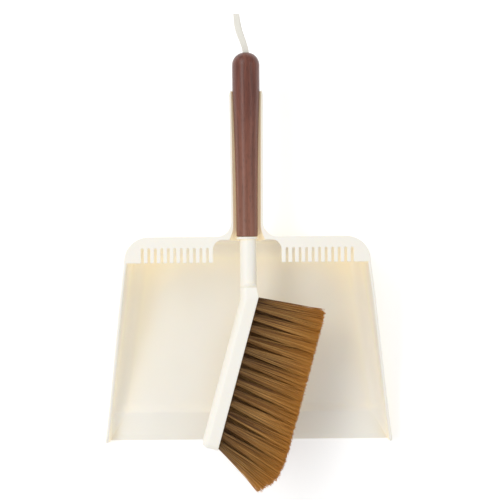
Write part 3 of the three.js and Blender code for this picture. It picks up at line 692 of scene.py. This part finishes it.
def comb_outline():
    """The hood's front edge from the cut-out to the outer land, in and out of every slot of the comb."""
    radius = COMB_SLOT_WIDTH / 2
    corner = COMB_CORNER_RADIUS
    back = HOOD_FRONT + COMB_SLOT_DEPTH - radius
    inner = CUTOUT_HALF_WIDTH + COMB_INNER_LAND + radius
    outer = rim_half_width(HOOD_FRONT) - COMB_OUTER_LAND - radius
    points = arc((CUTOUT_HALF_WIDTH + corner, HOOD_FRONT + corner), corner, math.pi, 1.5 * math.pi, 3)
    for i in range(COMB_SLOTS):
        x = lerp(inner, outer, i / (COMB_SLOTS - 1))
        near, far = x - radius, x + radius
        points += arc((near - corner, HOOD_FRONT + corner), corner, -math.pi / 2, 0, 3)
        points += arc((x, back), radius, math.pi, 0, 8)
        points += arc((far + corner, HOOD_FRONT + corner), corner, math.pi, 1.5 * math.pi, 3)
    return points


def hood_outline():
    """The right half of the pan's top layer in plan: hood, comb, cut-out, and the rim of the channel."""
    back = PAN_DEPTH - PAN_WALL
    points = comb_outline()
    points += [(rim_half_width(HOOD_FRONT), HOOD_FRONT)]
    points += arc((REAR_CORNER_X, SIDES_END), REAR_CORNER_RADIUS, 0, math.pi / 2, 24)
    flare, run, tip = outside_stations()
    points += [(outer_half_width(y), y) for y in flare + run + tip]
    points += [(inner_half_width(y), y) for y in reversed(run + [CHANNEL_END])]
    points += [(inner_half_width(back + CHANNEL_OUTER_FLARE * i / 14), back + CHANNEL_OUTER_FLARE * i / 14)
               for i in range(14, -1, -1)]
    centre = (CUTOUT_HALF_WIDTH - CUTOUT_RADIUS, back - CUTOUT_RADIUS)
    points += arc(centre, CUTOUT_RADIUS, math.pi / 2, 0, 12)
    return without_repeats(points)


def without_repeats(points):
    kept = []
    for p in points:
        if not kept or math.dist(p, kept[-1]) > 1e-4:
            kept.append(p)
    return kept if math.dist(kept[0], kept[-1]) > 1e-4 else kept[:-1]


def pulled_in(outline, distance):
    """The outline moved inward by a distance at every corner. It runs anticlockwise."""
    moved = []
    for i, here in enumerate(outline):
        before = Vector(outline[i - 1])
        after = Vector(outline[(i + 1) % len(outline)])
        into, out = (Vector(here) - before).normalized(), (after - Vector(here)).normalized()
        bisector = Vector((-into.y - out.y, into.x + out.x)).normalized()
        lean = max(0.5, bisector.dot(Vector((-into.y, into.x))))
        moved.append(tuple(Vector(here) + bisector * distance / lean))
    return moved


def rounded_plate(name, outline, bottom, top, radius, mirrored):
    """A flat plate with rounded upper and lower edges all the way round its outline."""
    levels = [(radius * (1 - math.sin(a)), bottom + radius * (1 - math.cos(a)))
              for a in (quarter(i, 3) for i in range(4))]
    levels += [(inset, top + bottom - z) for inset, z in reversed(levels)]
    sign = -1 if mirrored else 1
    rings = [[place(sign * x, y, z) for x, y in pulled_in(outline, inset)] for inset, z in levels]
    return loft(name, rings, CREAM)


def pan_shell():
    shell = combine(pan_tub(), lip_cut(), "DIFFERENCE")
    shell = combine(shell, channel_outside(), "UNION")
    shell = combine(shell, channel_inside(), "DIFFERENCE")
    outline = hood_outline()
    for mirrored in (False, True):
        plate = rounded_plate("hood_half", outline, PAN_HEIGHT - HOOD_THICKNESS, PAN_HEIGHT,
                              HOOD_EDGE_RADIUS, mirrored)
        shell = combine(shell, plate, "UNION")
    shell.name = "pan"
    return shade(shell)


pan = pan_shell()
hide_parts("pan_shell")
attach(pan, "pan")


# ---- The wooden handle ------------------------------------------------------------------------------------
def wooden_handle():
    dome_start = GRIP_END - GRIP_DOME
    power = 2 / GRIP_DOME_FULLNESS
    mouth_angle = math.acos((LOOP_HOLE_RADIUS / GRIP_RADIUS) ** (1 / power))
    profile = [(0, GRIP_END - LOOP_HOLE_DEPTH), (LOOP_HOLE_RADIUS, GRIP_END - LOOP_HOLE_DEPTH)]
    for i in range(25):
        angle = mouth_angle * (1 - i / 24)
        profile.append((GRIP_RADIUS * math.cos(angle) ** power,
                        dome_start + GRIP_DOME * math.sin(angle) ** power))
    taper_start = PAN_DEPTH + GRIP_CHAMFER
    taper_end = GRIP_END - GRIP_FULL_LENGTH
    for i in range(25):
        share = 1 - i / 24
        profile.append((lerp(GRIP_WAIST_RADIUS, GRIP_RADIUS, share * share),
                        lerp(taper_start, taper_end, share)))
    bore_end = PAN_DEPTH + TANG_LENGTH + TANG_END_GAP
    profile += [(GRIP_WAIST_RADIUS - GRIP_CHAMFER * 0.3, taper_start - GRIP_CHAMFER * 0.7),
                (GRIP_WAIST_RADIUS - GRIP_CHAMFER, PAN_DEPTH),
                (TANG_BORE_RADIUS, PAN_DEPTH), (TANG_BORE_RADIUS, bore_end), (0, bore_end)]
    return shade(turned_body("grip", profile, 72, WALNUT))


grip = wooden_handle()
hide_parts("wooden_handle")
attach(grip, "brush")

# ---- The brush's head -------------------------------------------------------------------------------------
ALONG_HEAD = Vector((-math.sin(HEAD_ANGLE), -math.cos(HEAD_ANGLE), 0))
OUT_OF_HEAD = Vector((math.cos(HEAD_ANGLE), -math.sin(HEAD_ANGLE), 0))
HEEL = Vector((HEEL_X, PAN_DEPTH - HEEL_DROP, AXIS_Z))
HEAD_STEPS = 28


def head_point(s, n, z):
    """s along the root face from the heel, n out of the face, z across, as a point in millimetres."""
    return HEEL + ALONG_HEAD * s + OUT_OF_HEAD * n + Vector((0, 0, z))


def block_ring(s, shrink, skew=0.0):
    """The upper half of the block's section at s: a flat root face, upright sides and a crowned back, which
    lies `skew` further along the head than the root face."""
    half = HEAD_WIDTH / 2 - shrink
    side_end = -(HEAD_THICKNESS - HEAD_CROWN)
    outline = [(0, half * share) for share in (0.35, 0.7)]
    outline += [(-HEAD_EDGE * (1 - math.cos(a)), half - HEAD_EDGE * (1 - math.sin(a)))
                for a in (quarter(i, 4) for i in range(5))]
    outline += [(lerp(-HEAD_EDGE, side_end, share), half) for share in (0.3, 0.6, 0.85)]
    for i in range(HEAD_STEPS):
        angle = quarter(i, HEAD_STEPS - 0.5)
        n = side_end - (HEAD_CROWN - shrink) * math.sin(angle) ** 0.9
        outline.append((n, half * math.cos(angle) ** 0.7))
    return [head_point(s - skew * n / HEAD_THICKNESS, n, z) for n, z in outline]


def heel_end_ring(y):
    """The upper half of the heel's end: square to the neck, as wide as it, nearly as tall as the block."""
    points = []
    for p in block_ring(0, 0):
        across = (p - HEEL).dot(OUT_OF_HEAD) / -HEAD_THICKNESS
        x = lerp(NECK_OFFSET + NECK_RADIUS, NECK_OFFSET - NECK_RADIUS, across)
        points.append(Vector((x, y, p.z - HEEL_BEVEL * (p.z - AXIS_Z) / (HEAD_WIDTH / 2))))
    return points


def neck_ring(y, radius, centre_x):
    """The upper half of a round section of the neck, with as many points as the block's."""
    count = HEAD_STEPS + 10
    angles = [math.pi * (i + 0.5) / count for i in range(count)]
    return [Vector((centre_x + radius * math.cos(a), y, AXIS_Z + radius * math.sin(a))) for a in angles]


def whole_ring(half_ring):
    mirrored = [Vector((p.x, p.y, 2 * AXIS_Z - p.z)) for p in reversed(half_ring)]
    return [place(*p) for p in half_ring + mirrored]


def brush_body():
    heel_end = PAN_DEPTH - HEEL_DROP + HEEL_LENGTH
    neck_start = heel_end + SHOULDER_LENGTH
    collar_end = PAN_DEPTH - COLLAR_GAP
    collar_start = collar_end - COLLAR_HEIGHT
    tang_end = PAN_DEPTH + TANG_LENGTH
    toe = HEAD_LENGTH + HEAD_TOE_REACH
    halves = []
    for i in range(9):
        angle = math.pi / 2 * (1 - i / 8)
        s = toe - HEAD_TOE_ROUND * (1 - math.sin(angle))
        halves.append(block_ring(s, HEAD_TOE_ROUND * 0.7 * (1 - math.cos(angle))))
    halves += [block_ring(lerp(toe - HEAD_TOE_ROUND, HEEL_RUN, i / 10), 0) for i in range(1, 11)]
    run, heel, end = halves[-1], block_ring(0, 0, HEEL_SKEW), heel_end_ring(heel_end)
    foot = neck_ring(neck_start, NECK_RADIUS, NECK_OFFSET)
    halves += [[p.lerp(q, t) for p, q in zip(run, heel)] for t in (0.25, 0.5, 0.75, 1.0)]
    halves += [[p.lerp(q, t) for p, q in zip(heel, end)] for t in (0.3, 0.6, 0.85, 1.0)]
    for k in range(1, 12):
        along, inward = 1 - math.cos(quarter(k, 12)), math.sin(quarter(k, 12))
        halves.append([Vector((lerp(p.x, q.x, inward), lerp(p.y, q.y, along), lerp(p.z, q.z, inward)))
                       for p, q in zip(end, foot)])
    halves += [neck_ring(lerp(neck_start, collar_start, i / 6), NECK_RADIUS, NECK_OFFSET) for i in range(7)]
    coaxial = [(collar_start + rise, radius) for rise, radius in COLLAR_SWELL]
    coaxial += [(collar_end - COLLAR_EDGE, COLLAR_RADIUS), (collar_end, COLLAR_RADIUS - COLLAR_EDGE),
                (collar_end, TANG_RADIUS), (tang_end - TANG_EDGE, TANG_RADIUS),
                (tang_end, TANG_RADIUS - TANG_EDGE)]
    halves += [neck_ring(y, radius, 0) for y, radius in coaxial]
    return loft("brush_body", [whole_ring(h) for h in halves], CREAM)


def tuft_nodes(row):
    return sorted(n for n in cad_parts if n.startswith(f"tuft_row{row}_"))


def tuft_ends(node):
    """The CAD tuft's middle at the bottom of its hole and at its tips, and the tips' half widths."""
    out, down = OUT_OF_HEAD.xy.normalized(), ALONG_HEAD.xy.normalized()
    points = sorted((v.co.copy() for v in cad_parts[node].data.vertices), key=lambda p: p.xy.dot(out))
    low, high = points[0].xy.dot(out), points[-1].xy.dot(out)
    root = [p for p in points if p.xy.dot(out) < low + (high - low) * 0.1]
    tip = [p for p in points if p.xy.dot(out) > low + (high - low) * 0.6]
    tip.sort(key=lambda p: p.xy.dot(down))
    corner = math.cos(math.pi / 8)
    along = (tip[-1] + tip[-2] - tip[0] - tip[1]) / 4 / corner
    across = (max(p.z for p in tip) - min(p.z for p in tip)) / 2 / corner
    return sum(root, Vector()) / len(root), sum(tip, Vector()) / len(tip), along, Vector((0, 0, across))


def tuft_hole(root, tip):
    """A round hole for one tuft, with a small countersink at the root face."""
    axis = (tip - root).normalized()
    side = Vector((0, 0, 1)).cross(axis).normalized()
    up = axis.cross(side)
    rings, wide = [], TUFT_HOLE_RADIUS + COUNTERSINK_WIDTH
    for out, radius in ((0, TUFT_HOLE_RADIUS), (TUFT_HOLE_DEPTH - COUNTERSINK_DEPTH, TUFT_HOLE_RADIUS),
                        (TUFT_HOLE_DEPTH, wide), (TUFT_HOLE_DEPTH + TUFT_HOLE_OVERRUN, wide)):
        middle = root + axis * out * MM
        rings.append([middle + (side * math.cos(a) + up * math.sin(a)) * radius * MM
                      for a in (math.tau * i / 14 for i in range(14))])
    return rings


def brush_head():
    head = brush_body()
    for row in TUFT_ROWS:
        for node in tuft_nodes(row):
            hole = loft("tuft_hole", tuft_hole(*tuft_ends(node)[:2]), CREAM)
            head = combine(head, hole, "DIFFERENCE")
    head.name = "head_and_neck"
    return shade(head, 40)


head = brush_head()
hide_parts("brush_head")
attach(head, "brush")


# ---- The filaments ----------------------------------------------------------------------------------------
def filament_tree():
    """Grows the filaments of every tuft: from a round bundle in its hole, out and apart to the tips."""
    tree = bpy.data.node_groups.new("tuft_filaments", "GeometryNodeTree")
    tree.interface.new_socket("Geometry", in_out="OUTPUT", socket_type="NodeSocketGeometry")
    for name, kind in (("Geometry", "Geometry"), ("Count", "Int"), ("Thickness", "Float"), ("Stray", "Float"),
                       ("Bow", "Float"), ("Seed", "Int"), ("Material", "Material")):
        tree.interface.new_socket(name, in_out="INPUT", socket_type="NodeSocket" + kind)
    start = add(tree, "NodeGroupInput").outputs
    vector, number, carried = "ShaderNodeVectorMath", "ShaderNodeMath", "GeometryNodeInputNamedAttribute"
    random, store = "FunctionNodeRandomValue", "GeometryNodeStoreNamedAttribute"

    # One point for each filament, which still carries its tuft's attributes, with chances of its own
    copies = add(tree, "GeometryNodeDuplicateElements",
                 {"Geometry": start["Geometry"], "Amount": start["Count"]}, domain="POINT")
    chance = []
    for salt in range(1, 6):
        seed = add(tree, number, {0: start["Seed"], 1: float(salt)}, operation="ADD")
        drawn = add(tree, random, {2: 0.0, 3: 1.0, "Seed": seed.outputs[0]}, data_type="FLOAT")
        chance.append(drawn.outputs[1])
    stray_seed = add(tree, number, {0: start["Seed"], 1: 6.0}, operation="ADD")
    stray = add(tree, random, {0: (-1.0, -1.0, -1.0), 1: (1.0, 1.0, 1.0), "Seed": stray_seed.outputs[0]},
                data_type="FLOAT_VECTOR").outputs[0]

    # Its place in the round bundle, spread evenly over the bundle's area: u along the head, v across it
    angle = add(tree, number, {0: chance[0], 1: math.tau}, operation="MULTIPLY").outputs[0]
    radius = add(tree, number, {0: chance[1]}, operation="SQRT").outputs[0]
    cosine = add(tree, number, {0: angle}, operation="COSINE").outputs[0]
    sine = add(tree, number, {0: angle}, operation="SINE").outputs[0]
    u = add(tree, number, {0: radius, 1: cosine}, operation="MULTIPLY").outputs[0]
    v = add(tree, number, {0: radius, 1: sine}, operation="MULTIPLY").outputs[0]
    root, tip, root_along, root_across, tip_along, tip_across = (
        add(tree, carried, {"Name": name}, data_type="FLOAT_VECTOR").outputs["Attribute"]
        for name in ("root", "tip", "root_along", "root_across", "tip_along", "tip_across"))
    root_v = add(tree, vector, {0: root_across, 1: v}, operation="MULTIPLY").outputs[0]
    root_offset = add(tree, vector, {0: root_along, 1: u, 2: root_v}, operation="MULTIPLY_ADD").outputs[0]
    tip_v = add(tree, vector, {0: tip_across, 1: v}, operation="MULTIPLY").outputs[0]
    tip_offset = add(tree, vector, {0: tip_along, 1: u, 2: tip_v}, operation="MULTIPLY_ADD").outputs[0]

    # Its two ends, the outer one trimmed a little short and gone a little astray
    trim = add(tree, "ShaderNodeMapRange", {"Value": chance[2], "To Min": 0.955, "To Max": 1.0}).outputs[0]
    reach = add(tree, vector, {0: tip, 1: root}, operation="SUBTRACT").outputs[0]
    trimmed = add(tree, vector, {0: reach, 1: trim, 2: root}, operation="MULTIPLY_ADD").outputs[0]
    straying = add(tree, vector, {0: stray, 1: start["Stray"], 2: tip_offset},
                   operation="MULTIPLY_ADD").outputs[0]
    first = add(tree, vector, {0: root, 1: root_offset}, operation="ADD").outputs[0]
    last = add(tree, vector, {0: trimmed, 1: straying}, operation="ADD").outputs[0]
    apart = add(tree, vector, {0: tip_offset, 1: root_offset}, operation="SUBTRACT").outputs[0]
    flow = copies.outputs["Geometry"]
    for name, kind, value in (("first", "FLOAT_VECTOR", first), ("last", "FLOAT_VECTOR", last),
                              ("apart", "FLOAT_VECTOR", apart), ("strand_tint", "FLOAT", chance[3]),
                              ("bow", "FLOAT", chance[4])):
        flow = add(tree, store, {"Geometry": flow, "Name": name, "Value": value},
                   data_type=kind, domain="POINT").outputs[0]

    # A strand of a few points on each, which parts from the bundle slowly at first and bows a little
    line = add(tree, "GeometryNodeCurvePrimitiveLine", {"Start": (0, 0, 0), "End": (0, 0, 1)}).outputs[0]
    strand = add(tree, "GeometryNodeResampleCurve", {"Curve": line, "Count": FILAMENT_POINTS}).outputs[0]
    placed = add(tree, "GeometryNodeInstanceOnPoints", {"Points": flow, "Instance": strand}).outputs[0]
    strands = add(tree, "GeometryNodeRealizeInstances", {"Geometry": placed}).outputs[0]
    share = add(tree, "GeometryNodeSplineParameter").outputs["Factor"]
    first, last, apart = (add(tree, carried, {"Name": name}, data_type="FLOAT_VECTOR").outputs["Attribute"]
                          for name in ("first", "last", "apart"))
    bow = add(tree, carried, {"Name": "bow"}, data_type="FLOAT").outputs["Attribute"]
    late = add(tree, number, {0: share, 1: 1.45}, operation="POWER").outputs[0]
    lag = add(tree, number, {0: late, 1: share}, operation="SUBTRACT").outputs[0]
    turned = add(tree, number, {0: share, 1: math.pi}, operation="MULTIPLY").outputs[0]
    arch = add(tree, number, {0: turned}, operation="SINE").outputs[0]
    either_way = add(tree, number, {0: bow, 1: 0.5}, operation="SUBTRACT").outputs[0]
    arched = add(tree, number, {0: arch, 1: either_way}, operation="MULTIPLY").outputs[0]
    swing = add(tree, number, {0: arched, 1: start["Bow"]}, operation="MULTIPLY").outputs[0]
    run = add(tree, vector, {0: last, 1: first}, operation="SUBTRACT").outputs[0]
    straight = add(tree, vector, {0: run, 1: share, 2: first}, operation="MULTIPLY_ADD").outputs[0]
    lagging = add(tree, vector, {0: apart, 1: lag, 2: straight}, operation="MULTIPLY_ADD").outputs[0]
    sideways = add(tree, vector, {0: apart}, operation="NORMALIZE").outputs[0]
    bent = add(tree, vector, {0: sideways, 1: swing, 2: lagging}, operation="MULTIPLY_ADD").outputs[0]
    curved = add(tree, "GeometryNodeSetPosition", {"Geometry": strands, "Position": bent}).outputs[0]
    shared = add(tree, store, {"Geometry": curved, "Name": "strand_share", "Value": share},
                 data_type="FLOAT", domain="POINT").outputs[0]

    # A three-sided filament round each strand
    half = add(tree, number, {0: start["Thickness"], 1: 0.5}, operation="MULTIPLY").outputs[0]
    section = add(tree, "GeometryNodeCurvePrimitiveCircle", {"Resolution": 3, "Radius": half}).outputs[0]
    tubes = add(tree, "GeometryNodeCurveToMesh",
                {"Curve": shared, "Profile Curve": section, "Fill Caps": True}).outputs[0]
    rounded = add(tree, "GeometryNodeSetShadeSmooth", {"Geometry": tubes}).outputs[0]
    whole = add(tree, "GeometryNodeRealizeInstances", {"Geometry": rounded}).outputs[0]
    dressed = add(tree, "GeometryNodeSetMaterial",
                  {"Geometry": whole, "Material": start["Material"]}).outputs[0]
    add(tree, "NodeGroupOutput", {"Geometry": dressed})
    return tree


def set_modifier(modifier, name, value):
    for item in modifier.node_group.interface.items_tree:
        if item.item_type == "SOCKET" and item.in_out == "INPUT" and item.name == name:
            modifier[item.identifier] = value


def filament_row(row, tree):
    """One row of tufts as one piece of loose filaments."""
    nodes = tuft_nodes(row)
    ends = [tuft_ends(node) for node in nodes]
    mesh = bpy.data.meshes.new(f"filaments_row{row}")
    mesh.from_pydata([tuple(end[0]) for end in ends], [], [])
    bundle = TUFT_ROOT_RADIUS * MM
    carried = {
        "root": [root for root, _, _, _ in ends],
        "tip": [tip for _, tip, _, _ in ends],
        "root_along": [along.normalized() * bundle for _, _, along, _ in ends],
        "root_across": [across.normalized() * bundle for _, _, _, across in ends],
        "tip_along": [along * TUFT_OVERLAP for _, _, along, _ in ends],
        "tip_across": [across * TUFT_OVERLAP for _, _, _, across in ends]}
    for name, values in carried.items():
        attribute = mesh.attributes.new(name, "FLOAT_VECTOR", "POINT")
        for i, value in enumerate(values):
            attribute.data[i].vector = value
    made = bpy.data.objects.new(f"filaments_row{row}", mesh)
    scene.collection.objects.link(made)
    grow = made.modifiers.new("filaments", "NODES")
    grow.node_group = tree
    for name, value in (("Count", FILAMENTS_PER_TUFT), ("Thickness", FILAMENT_THICKNESS * MM),
                        ("Stray", STRAND_STRAY * MM), ("Bow", 2 * STRAND_BOW * MM), ("Seed", 10 * row),
                        ("Material", FILAMENT)):
        set_modifier(grow, name, value)
    evaluated(made)
    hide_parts(*nodes)
    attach(made, "brush")


growing = filament_tree()
for row in TUFT_ROWS:
    filament_row(row, growing)


# ---- The hanging loop -------------------------------------------------------------------------------------
# (x from the grip's axis, y past the end of its dome, z from the axis): up one leg, round the fold, and back
LOOP_ROUTE = (
    (0, -10, LOOP_LEG_GAP), (0, 1, LOOP_LEG_GAP), (-2.2, 8.5, LOOP_LEG_GAP + 0.8),
    (-5.2, 16.5, LOOP_LEG_GAP + 0.4), (-6.8, 24, -1.8), (-7.2, 30.2, -5), (-7.3, 32, -7.6),
    (-7.1, 30.2, -9.8), (-6.2, 24, -9), (-4.4, 16.5, -6), (-1.8, 8.5, -2.8),
    (0, 1, -LOOP_LEG_GAP), (0, -10, -LOOP_LEG_GAP))


def catmull(points, steps):
    """A centripetal Catmull-Rom curve through the points."""
    padded = [points[0] * 2 - points[1]] + list(points) + [points[-1] * 2 - points[-2]]
    path = []
    for a, b, c, d in zip(padded, padded[1:], padded[2:], padded[3:]):
        t1 = (b - a).length ** 0.5
        t2 = t1 + (c - b).length ** 0.5
        t3 = t2 + (d - c).length ** 0.5
        for i in range(steps):
            t = lerp(t1, t2, i / steps)
            a1 = a * ((t1 - t) / t1) + b * (t / t1)
            a2 = b * ((t2 - t) / (t2 - t1)) + c * ((t - t1) / (t2 - t1))
            a3 = c * ((t3 - t) / (t3 - t2)) + d * ((t - t2) / (t3 - t2))
            b1 = a1 * ((t2 - t) / t2) + a2 * (t / t2)
            b2 = a2 * ((t3 - t) / (t3 - t1)) + a3 * ((t - t1) / (t3 - t1))
            path.append(b1 * ((t2 - t) / (t2 - t1)) + b2 * ((t - t1) / (t2 - t1)))
    return path + [points[-1].copy()]


def strap_section():
    """(across, outward) points round the strap's rounded-off rectangle."""
    half, edge = LOOP_WIDTH / 2, LOOP_THICKNESS / 2
    right = [(half - edge + edge * math.cos(a), edge * math.sin(a))
             for a in (math.radians(-90 + 180 * i / 6) for i in range(7))]
    top = [(lerp(half - edge, edge - half, i / 6), edge) for i in range(1, 6)]
    return right + top + [(-x, -z) for x, z in right] + [(-x, -z) for x, z in top]


def hanging_loop():
    """The strap with its weave laid out along it, its centreline, and the distance run at every point of it."""
    route = [place(x, GRIP_END + y, AXIS_Z + z) for x, y, z in LOOP_ROUTE]
    path = catmull(route, 10)
    section = strap_section()
    rings = []
    for i, here in enumerate(path):
        tangent = (path[min(i + 1, len(path) - 1)] - path[max(i - 1, 0)]).normalized()
        wide = (Vector((1, 0, 0)) - tangent * tangent.x).normalized()
        out = tangent.cross(wide)
        rings.append([here + (wide * x + out * z) * MM for x, z in section])
    loop = loft("hanging_loop_strap", rings, STRAP)
    travelled = [0.0]
    for a, b in zip(path, path[1:]):
        travelled.append(travelled[-1] + (b - a).length)
    layer = loop.data.uv_layers.new(name="strap")
    for polygon in loop.data.polygons:
        polygon.use_smooth = True
        for corner in polygon.loop_indices:
            ring, step = divmod(loop.data.loops[corner].vertex_index, len(section))
            layer.data[corner].uv = (travelled[min(ring, len(travelled) - 1)], section[step][0] * MM)
    return loop, path, travelled


loop, loop_path, loop_run = hanging_loop()
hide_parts("hanging_loop")
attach(loop, "brush")


# ---- The studio -------------------------------------------------------------------------------------------
FLOOR_HALF = 2.0
FLOOR_GLOW = 0.3
WORLD_STRENGTH = 0.62


def white_floor():
    material, tree = new_material("white_paper_sweep")
    coat = add(tree, "ShaderNodeBsdfDiffuse", {"Color": (0.9, 0.9, 0.9, 1)})
    glow = add(tree, "ShaderNodeEmission", {"Color": (1, 1, 1, 1), "Strength": FLOOR_GLOW})
    both = add(tree, "ShaderNodeAddShader", {0: coat.outputs["BSDF"], 1: glow.outputs["Emission"]})
    add(tree, "ShaderNodeOutputMaterial", {"Surface": both.outputs["Shader"]})
    corners = [(x * FLOOR_HALF, y * FLOOR_HALF, 0) for x, y in ((-1, -1), (1, -1), (1, 1), (-1, 1))]
    floor = new_object("floor", corners, [(0, 1, 2, 3)], material)
    floor.data.polygons[0].use_smooth = False
    return floor


def softbox(name, angle, distance, width, length, power, turn=0.0):
    """A softbox overhead, pointed at the object: leaning `angle` degrees from straight above towards +X, and
    then turned `turn` degrees about the upright. Its sizes are in metres and its power in watts."""
    data = bpy.data.lights.new(name, "AREA")
    data.shape = "RECTANGLE"
    data.size = width
    data.size_y = length
    data.energy = power
    light = bpy.data.objects.new(name, data)
    turned = Matrix.Rotation(math.radians(turn), 4, "Z") @ Matrix.Rotation(math.radians(angle), 4, "Y")
    light.matrix_world = turned @ Matrix.Translation((0, 0, distance))
    scene.collection.objects.link(light)


floor = white_floor()
softbox("left_softbox", angle=-32, distance=1.6, width=0.5, length=2.0, power=7.5)
softbox("right_softbox", angle=44, distance=1.6, width=0.5, length=2.0, power=3)
softbox("top_left_softbox", angle=50, distance=2.0, width=1.2, length=1.2, power=6, turn=125)
world = bpy.data.worlds.new("studio")
world.use_nodes = True
background = world.node_tree.nodes["Background"].inputs
background["Color"].default_value = (1, 1, 1, 1)
background["Strength"].default_value = WORLD_STRENGTH
scene.world = world
scene.view_settings.view_transform = "Standard"
